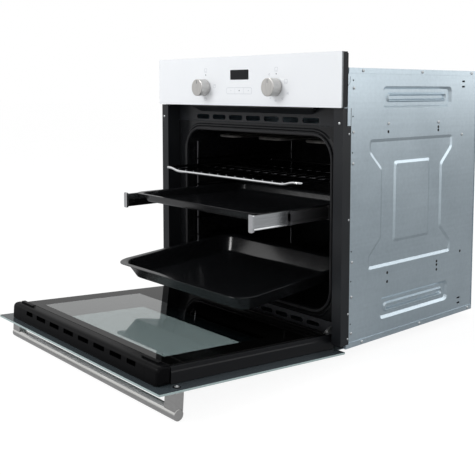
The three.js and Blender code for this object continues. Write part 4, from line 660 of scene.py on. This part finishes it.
knob_steel = Finish("turned stainless", "stainless", (0.66, 0.645, 0.62), 0.26, 1.0)
brushed = knob_steel.noise(420.0, 2.0, knob_steel.stretched(1.0, 12.0, 0.08))
knob_steel.put("Base Color", knob_steel.mix(brushed, (0.44, 0.43, 0.415), (0.72, 0.71, 0.69)))
knob_steel.put("Roughness", 0.29 + brushed * 0.08)
knob_steel.bump(brushed, 0.00003, 0.7)
knob_low, knob_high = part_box("knob_right")
knob_radius = (knob_high.x - knob_low.x) / 2
knob_front = panel_y - knob_low.y
face = knob_front - 0.0001
knob_profile = [(0.0040, -0.018), (0.0040, 0.001), (knob_radius - 0.0012, 0.001),
                (knob_radius, 0.0018), (knob_radius, 0.0024), (knob_radius, knob_front - 0.0014),
                (knob_radius, knob_front - 0.0008), (knob_radius - 0.0006, knob_front - 0.0002),
                (knob_radius - 0.0010, face), (knob_radius - 0.0014, face), (0.0002, face)]
for side, name in ((-1, "knob_left"), (1, "knob_right")):
    knob = turned(knob_profile, (side * knob_x, panel_y, axis_z), (0, -1, 0), (0, 0, 1), 64)
    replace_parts(skin(f"{name}_turned", [knob], knob_steel, name), name)
    line = stroke([(side * knob_x, axis_z + 0.009), (side * knob_x, axis_z + 0.0165)], 0.0012)
    skin(f"{name}_pointer", [line - (0, knob_front, 0)], print_dark, name)

# ------------------------------------------------------------------ door mouldings
# Black mouldings frame the door: a slotted trim with rounded end caps along the top, a stepped
# profile down each side and a channel along the bottom. A dark strip behind the slots is painted
# shade that keeps them dark.

satin_black = Finish("satin black moulding", "door_moulding", (0.002, 0.002, 0.0025), 0.28,
                     Specular_IOR_Level=0.06)
satin_grain = satin_black.noise(1300.0, 2.0)
satin_black.put("Roughness", 0.29 + satin_grain * 0.1)
satin_black.bump(satin_grain, 0.00002, 0.5)
for name in ("door_top_trim", *both("door_end_cap")):
    softened(name, 0.0006, satin_black, "door")
extruded = Finish("painted extrusion", "door_moulding", (0.006, 0.0065, 0.008), 0.3, Specular_IOR_Level=0.2)
extruded.put("Roughness", 0.29 + extruded.noise(300.0, 2.0, extruded.stretched(1.0, 0.05, 1.0)) * 0.12)
for name in both("door_side_profile"):
    softened(name, 0.0006, extruded, "door")
paint(satin_black, "door_bottom_profile")

pin_y, pin_z, door_angle = -0.003, 0.028, math.radians(86)
up_y, up_z = -math.sin(door_angle), math.cos(door_angle)


def up_door(x, height, depth):
    """A place on the door, pin + height * up - depth * inwards: height goes up the door from the
    hinge pin, and depth goes from the pin towards the door's outer side."""
    y = pin_y - depth * up_z + height * up_y
    return x, y, pin_z + depth * up_y + height * up_z


# Painted shade: a dark strip inside the top trim, behind its slots.
half_span, half_width, half_sheet = 0.228, 0.013, 0.0004
section = [(-half_width, -half_sheet), (half_width, -half_sheet),
           (half_width, half_sheet), (-half_width, half_sheet)]
slot_shade_line = [up_door(x, 0.4145, 0.0082) for x in (-half_span, half_span)]
slot_shade = carried(slot_shade_line, section, (0, up_y, up_z))
skin("trim_slot_shade", [slot_shade], satin_black, "door", smooth=False)

# ------------------------------------------------------------------ door glass
# The outer pane is toughened glass painted white on its back, dark over the white, but for a clear
# window and its pale green ground edges. The inner pane has a printed black border round its window.

window_tint = (0.70, 0.745, 0.745)


def glazed(finish, border, reflect):
    """Where the border is 1 the pane is its own shader. Where it is 0 a share of the light, reflect,
    is mirrored at the front face and the rest passes through, tinted."""
    clear = finish.node("ShaderNodeBsdfTransparent", None, (*window_tint, 1.0))
    front_face = 1 - finish.node("ShaderNodeNewGeometry", output="Backfacing")
    finish.blend(border + (1 - border) * reflect * front_face, clear, finish.surface())


def window_mask(finish, half_width, low, high):
    """0 inside a rectangle on the door and 1 outside it. Low and high are distances up the door
    from the hinge pin: (place - pin) . up."""
    x, y, z = finish.axes()
    height = (y - pin_y) * up_y + (z - pin_z) * up_z
    inside = (abs(x) < half_width) * (abs(height - (low + high) / 2) < (high - low) / 2)
    return 1 - inside


inner_pane = Finish("inner door glass", "inner_glass", (0.002, 0.002, 0.002), 0.03, Specular_IOR_Level=0.12)
inner_border = window_mask(inner_pane, half_width=0.217, low=0.149, high=0.390)
inner_smear = inner_pane.noise(9.0, 2.0)
inner_pane.put("Base Color", inner_pane.mix(inner_border, (0.95, 0.97, 0.97), (0.002, 0.002, 0.002)))
inner_pane.put("Metallic", 1 - inner_border)
inner_pane.put("Roughness", 0.02 + inner_smear * 0.03)
gloss = inner_pane.node("ShaderNodeFresnel", None, IOR=1.5)
glazed(inner_pane, inner_border, gloss * 1.9)
softened("door_inner_glass", 0.0005, inner_pane, "door")

outer_pane = Finish("outer door glass", "door_glass", (0.8, 0.82, 0.85), 0.05)
outer_border = window_mask(outer_pane, half_width=0.224, low=0.132, high=0.396)
outwards = outer_pane.facing((0.0, -up_z, up_y))
outside, edge = outwards > 0.5, abs(outwards) < 0.5
back_paint = outer_pane.mix(outside, (0.055, 0.070, 0.080), (0.82, 0.84, 0.87))
back_paint = outer_pane.mix(edge, back_paint, (0.40, 0.50, 0.50))
outer_pane.put("Base Color", outer_pane.mix(outer_border, (0.95, 0.97, 0.97), back_paint))
outer_pane.put("Metallic", 1 - outer_border)
outer_pane.put("Roughness", 0.04 + outer_pane.noise(12.0) * 0.03)
outer_gloss = outer_pane.node("ShaderNodeFresnel", None, IOR=1.45)
glazed(outer_pane, outer_border, outer_gloss * 0.6)
softened("door_outer_glass", 0.0004, outer_pane, "door")

# ------------------------------------------------------------------ handle
# A round bar of brushed stainless runs the door's full width on two square posts. Each post is
# held by a screw through the outer pane, from behind, in a black collar.

handle_steel = Finish("brushed stainless", "stainless", (0.62, 0.61, 0.60), 0.22, 1.0)
lines = handle_steel.noise(700.0, 2.0, handle_steel.stretched(0.03, 1.0, 1.0))
handle_steel.put("Base Color", handle_steel.mix(lines, (0.41, 0.41, 0.40), (0.66, 0.66, 0.645)))
handle_steel.put("Roughness", 0.16 + lines * 0.10)
handle_steel.bump(lines, 0.00003, 0.6)
bar_low, bar_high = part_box("handle_bar")
bar_radius = (bar_high.z - bar_low.z) / 2
bar_y, bar_z = (bar_low.y + bar_high.y) / 2, (bar_low.z + bar_high.z) / 2
end, chamfer = bar_high.x, 0.0008
bar_profile = [(0.0002, -end), (bar_radius - chamfer, -end), (bar_radius, chamfer - end),
               (bar_radius, end - chamfer), (bar_radius - chamfer, end), (0.0002, end)]
bar = turned(bar_profile, (0, bar_y, bar_z), (1, 0, 0), (0, 0, 1), 64)
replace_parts(skin("brushed_bar", [bar], handle_steel, "door"), "handle_bar")
for name in both("handle_post"):
    softened(name, 0.0007, handle_steel, "door")

collar_profile = [(0.0048, 0.0010), (0.0062, 0.0010), (0.0070, 0.0)]
screw_profile = [(0.0014, 0.0014), (0.0018, 0.0022), (0.0036, 0.0022), (0.0046, 0.0016), (0.0046, 0.0)]
inwards = (0, up_z, -up_y)
collars, handle_screws = [], []
for x in (-0.2825, 0.2825):
    seat = up_door(x, 0.410, 0.024)
    collars.append(turned(collar_profile, seat, inwards, (1, 0, 0), 24))
    handle_screws.append(turned(screw_profile, seat, inwards, (1, 0, 0), 24))
skin("handle_screw_rings", collars, satin_black, "door")
skin("handle_screws", handle_screws, screw_steel, "door")

# ------------------------------------------------------------------ studio
# A pale seamless floor, a broad softbox from the front left, a weaker one at the right and a large
# one at the right rear, in a surround that is plain white to the eye and, in reflections, a
# white ceiling and front above grey walls that are darker on the left.

floor_mesh = bpy.data.meshes.new("studio_floor")
reach, floor_z = 30.0, cad_box[0].z - 0.0005
floor_mesh.from_pydata([(-reach, -reach, floor_z), (reach, -reach, floor_z), (reach, reach, floor_z),
                        (-reach, reach, floor_z)], [], [(0, 1, 2, 3)])
floor = bpy.data.objects.new("studio_floor", floor_mesh)
bpy.context.collection.objects.link(floor)
paper = Finish("studio paper", None, (0.86, 0.86, 0.86), 0.9)
floor_mesh.materials.append(paper.material)
rays = paper.node("ShaderNodeLightPath", output="Is Camera Ray")
mirrored = Value(paper, rays.socket.node.outputs["Is Glossy Ray"])
through = Value(paper, rays.socket.node.outputs["Is Transmission Ray"])
toward_back = paper.node("ShaderNodeMapRange", None, paper.axes()[1], -0.35, 0.15)
in_gloss = paper.mix(toward_back, (0.32, 0.32, 0.33), (0.20, 0.21, 0.22))
glow = paper.node("ShaderNodeEmission", None, paper.mix(mirrored, (1.0, 1.0, 1.0), in_gloss), 1.12)
seen = rays + mirrored + through
paper.blend(seen.math("MINIMUM", seen, 1.0) * 0.8, paper.surface(), glow)

world = bpy.data.worlds.new("studio")
bpy.context.scene.world = world
world.use_nodes = True
nodes, links = world.node_tree.nodes, world.node_tree.links
background = nodes["Background"]
path = nodes.new("ShaderNodeLightPath")
direction = nodes.new("ShaderNodeTexCoord")
ray = nodes.new("ShaderNodeSeparateXYZ")
links.new(direction.outputs["Generated"], ray.inputs[0])


def wall(foot, bend, shoulder):
    """A Color Ramp node's grey over the height of the ray: foot where it is level or goes down,
    shoulder where its height is bend, and white straight up."""
    ramp = nodes.new("ShaderNodeValToRGB")
    elements = ramp.color_ramp.elements
    elements[0].color = (foot, foot, foot, 1.0)
    elements.new(bend).color = (shoulder, shoulder, shoulder, 1.0)
    links.new(ray.outputs["Z"], ramp.inputs[0])
    return ramp.outputs[0]


def chosen(share, first, second):
    """A Mix node's colour: the first where the share is 0 and the second where it is 1."""
    node = nodes.new("ShaderNodeMix")
    node.data_type = "RGBA"
    for index, value in ((0, share), (6, first), (7, second)):
        if isinstance(value, float):
            node.inputs[index].default_value = (value, value, value, 1.0)
        else:
            links.new(value, node.inputs[index])
    return node.outputs[2]


def turning(axis, first, last):
    """A share that goes from 0 to 1 as the ray's X or Y goes from the first value to the last."""
    node = nodes.new("ShaderNodeMapRange")
    node.inputs["From Min"].default_value = first
    node.inputs["From Max"].default_value = last
    links.new(ray.outputs[axis], node.inputs["Value"])
    return node.outputs["Result"]


left_wall = wall(0.41, 0.30, 0.60)
right_wall = wall(0.50, 0.22, 0.87)
front_wall = wall(0.95, 0.30, 1.05)
walls = chosen(turning("X", -0.3, 0.1), left_wall, right_wall)
walls = chosen(turning("Y", -0.1, -0.3), walls, front_wall)
fill = 0.55
light = chosen(path.outputs["Is Glossy Ray"], fill, walls)
light = chosen(path.outputs["Is Transmission Ray"], light, 1.0)
links.new(chosen(path.outputs["Is Camera Ray"], light, 1.0), background.inputs["Color"])


def softbox(name, place, target, size, watts):
    """An area lamp at a place, turned to face a target."""
    lamp = bpy.data.lights.new(name, "AREA")
    lamp.shape = "RECTANGLE"
    lamp.size, lamp.size_y = size
    lamp.energy = watts
    holder = bpy.data.objects.new(name, lamp)
    holder.location = place
    toward = np.array(target, float) - np.array(place, float)
    flat = math.hypot(toward[0], toward[1])
    holder.rotation_euler = (math.atan2(flat, -toward[2]), 0, math.atan2(-toward[0], toward[1]))
    bpy.context.collection.objects.link(holder)


softbox("key_softbox", (-1.0, -2.6, 2.0), (0, 0, 0.35), (1.6, 1.2), 42)
softbox("side_softbox", (3.2, 0.9, 0.75), (0.2, 0.2, 0.3), (2.0, 1.6), 9)
softbox("rear_softbox", (2.34, 2.98, 1.45), (0.28, 0.25, 0.30), (4.0, 2.2), 25)

# ------------------------------------------------------------------ camera
# It stands 1.7 m off at the right front, a little below the oven's top, and looks 5 degrees down.
# A downward shift of the frame brings the open door in without tilting the view any further.

camera_data = bpy.data.cameras.new("camera")
camera_data.sensor_width = 36.0
camera_data.lens = 59.0
camera_data.shift_y = -0.163
camera = bpy.data.objects.new("camera", camera_data)
camera.location = (1.287, -1.157, 0.520)
camera.rotation_euler = (math.radians(90 - 5.1), 0, math.radians(48.9))
bpy.context.collection.objects.link(camera)
bpy.context.scene.camera = camera
bpy.context.scene.view_settings.view_transform = "Standard"
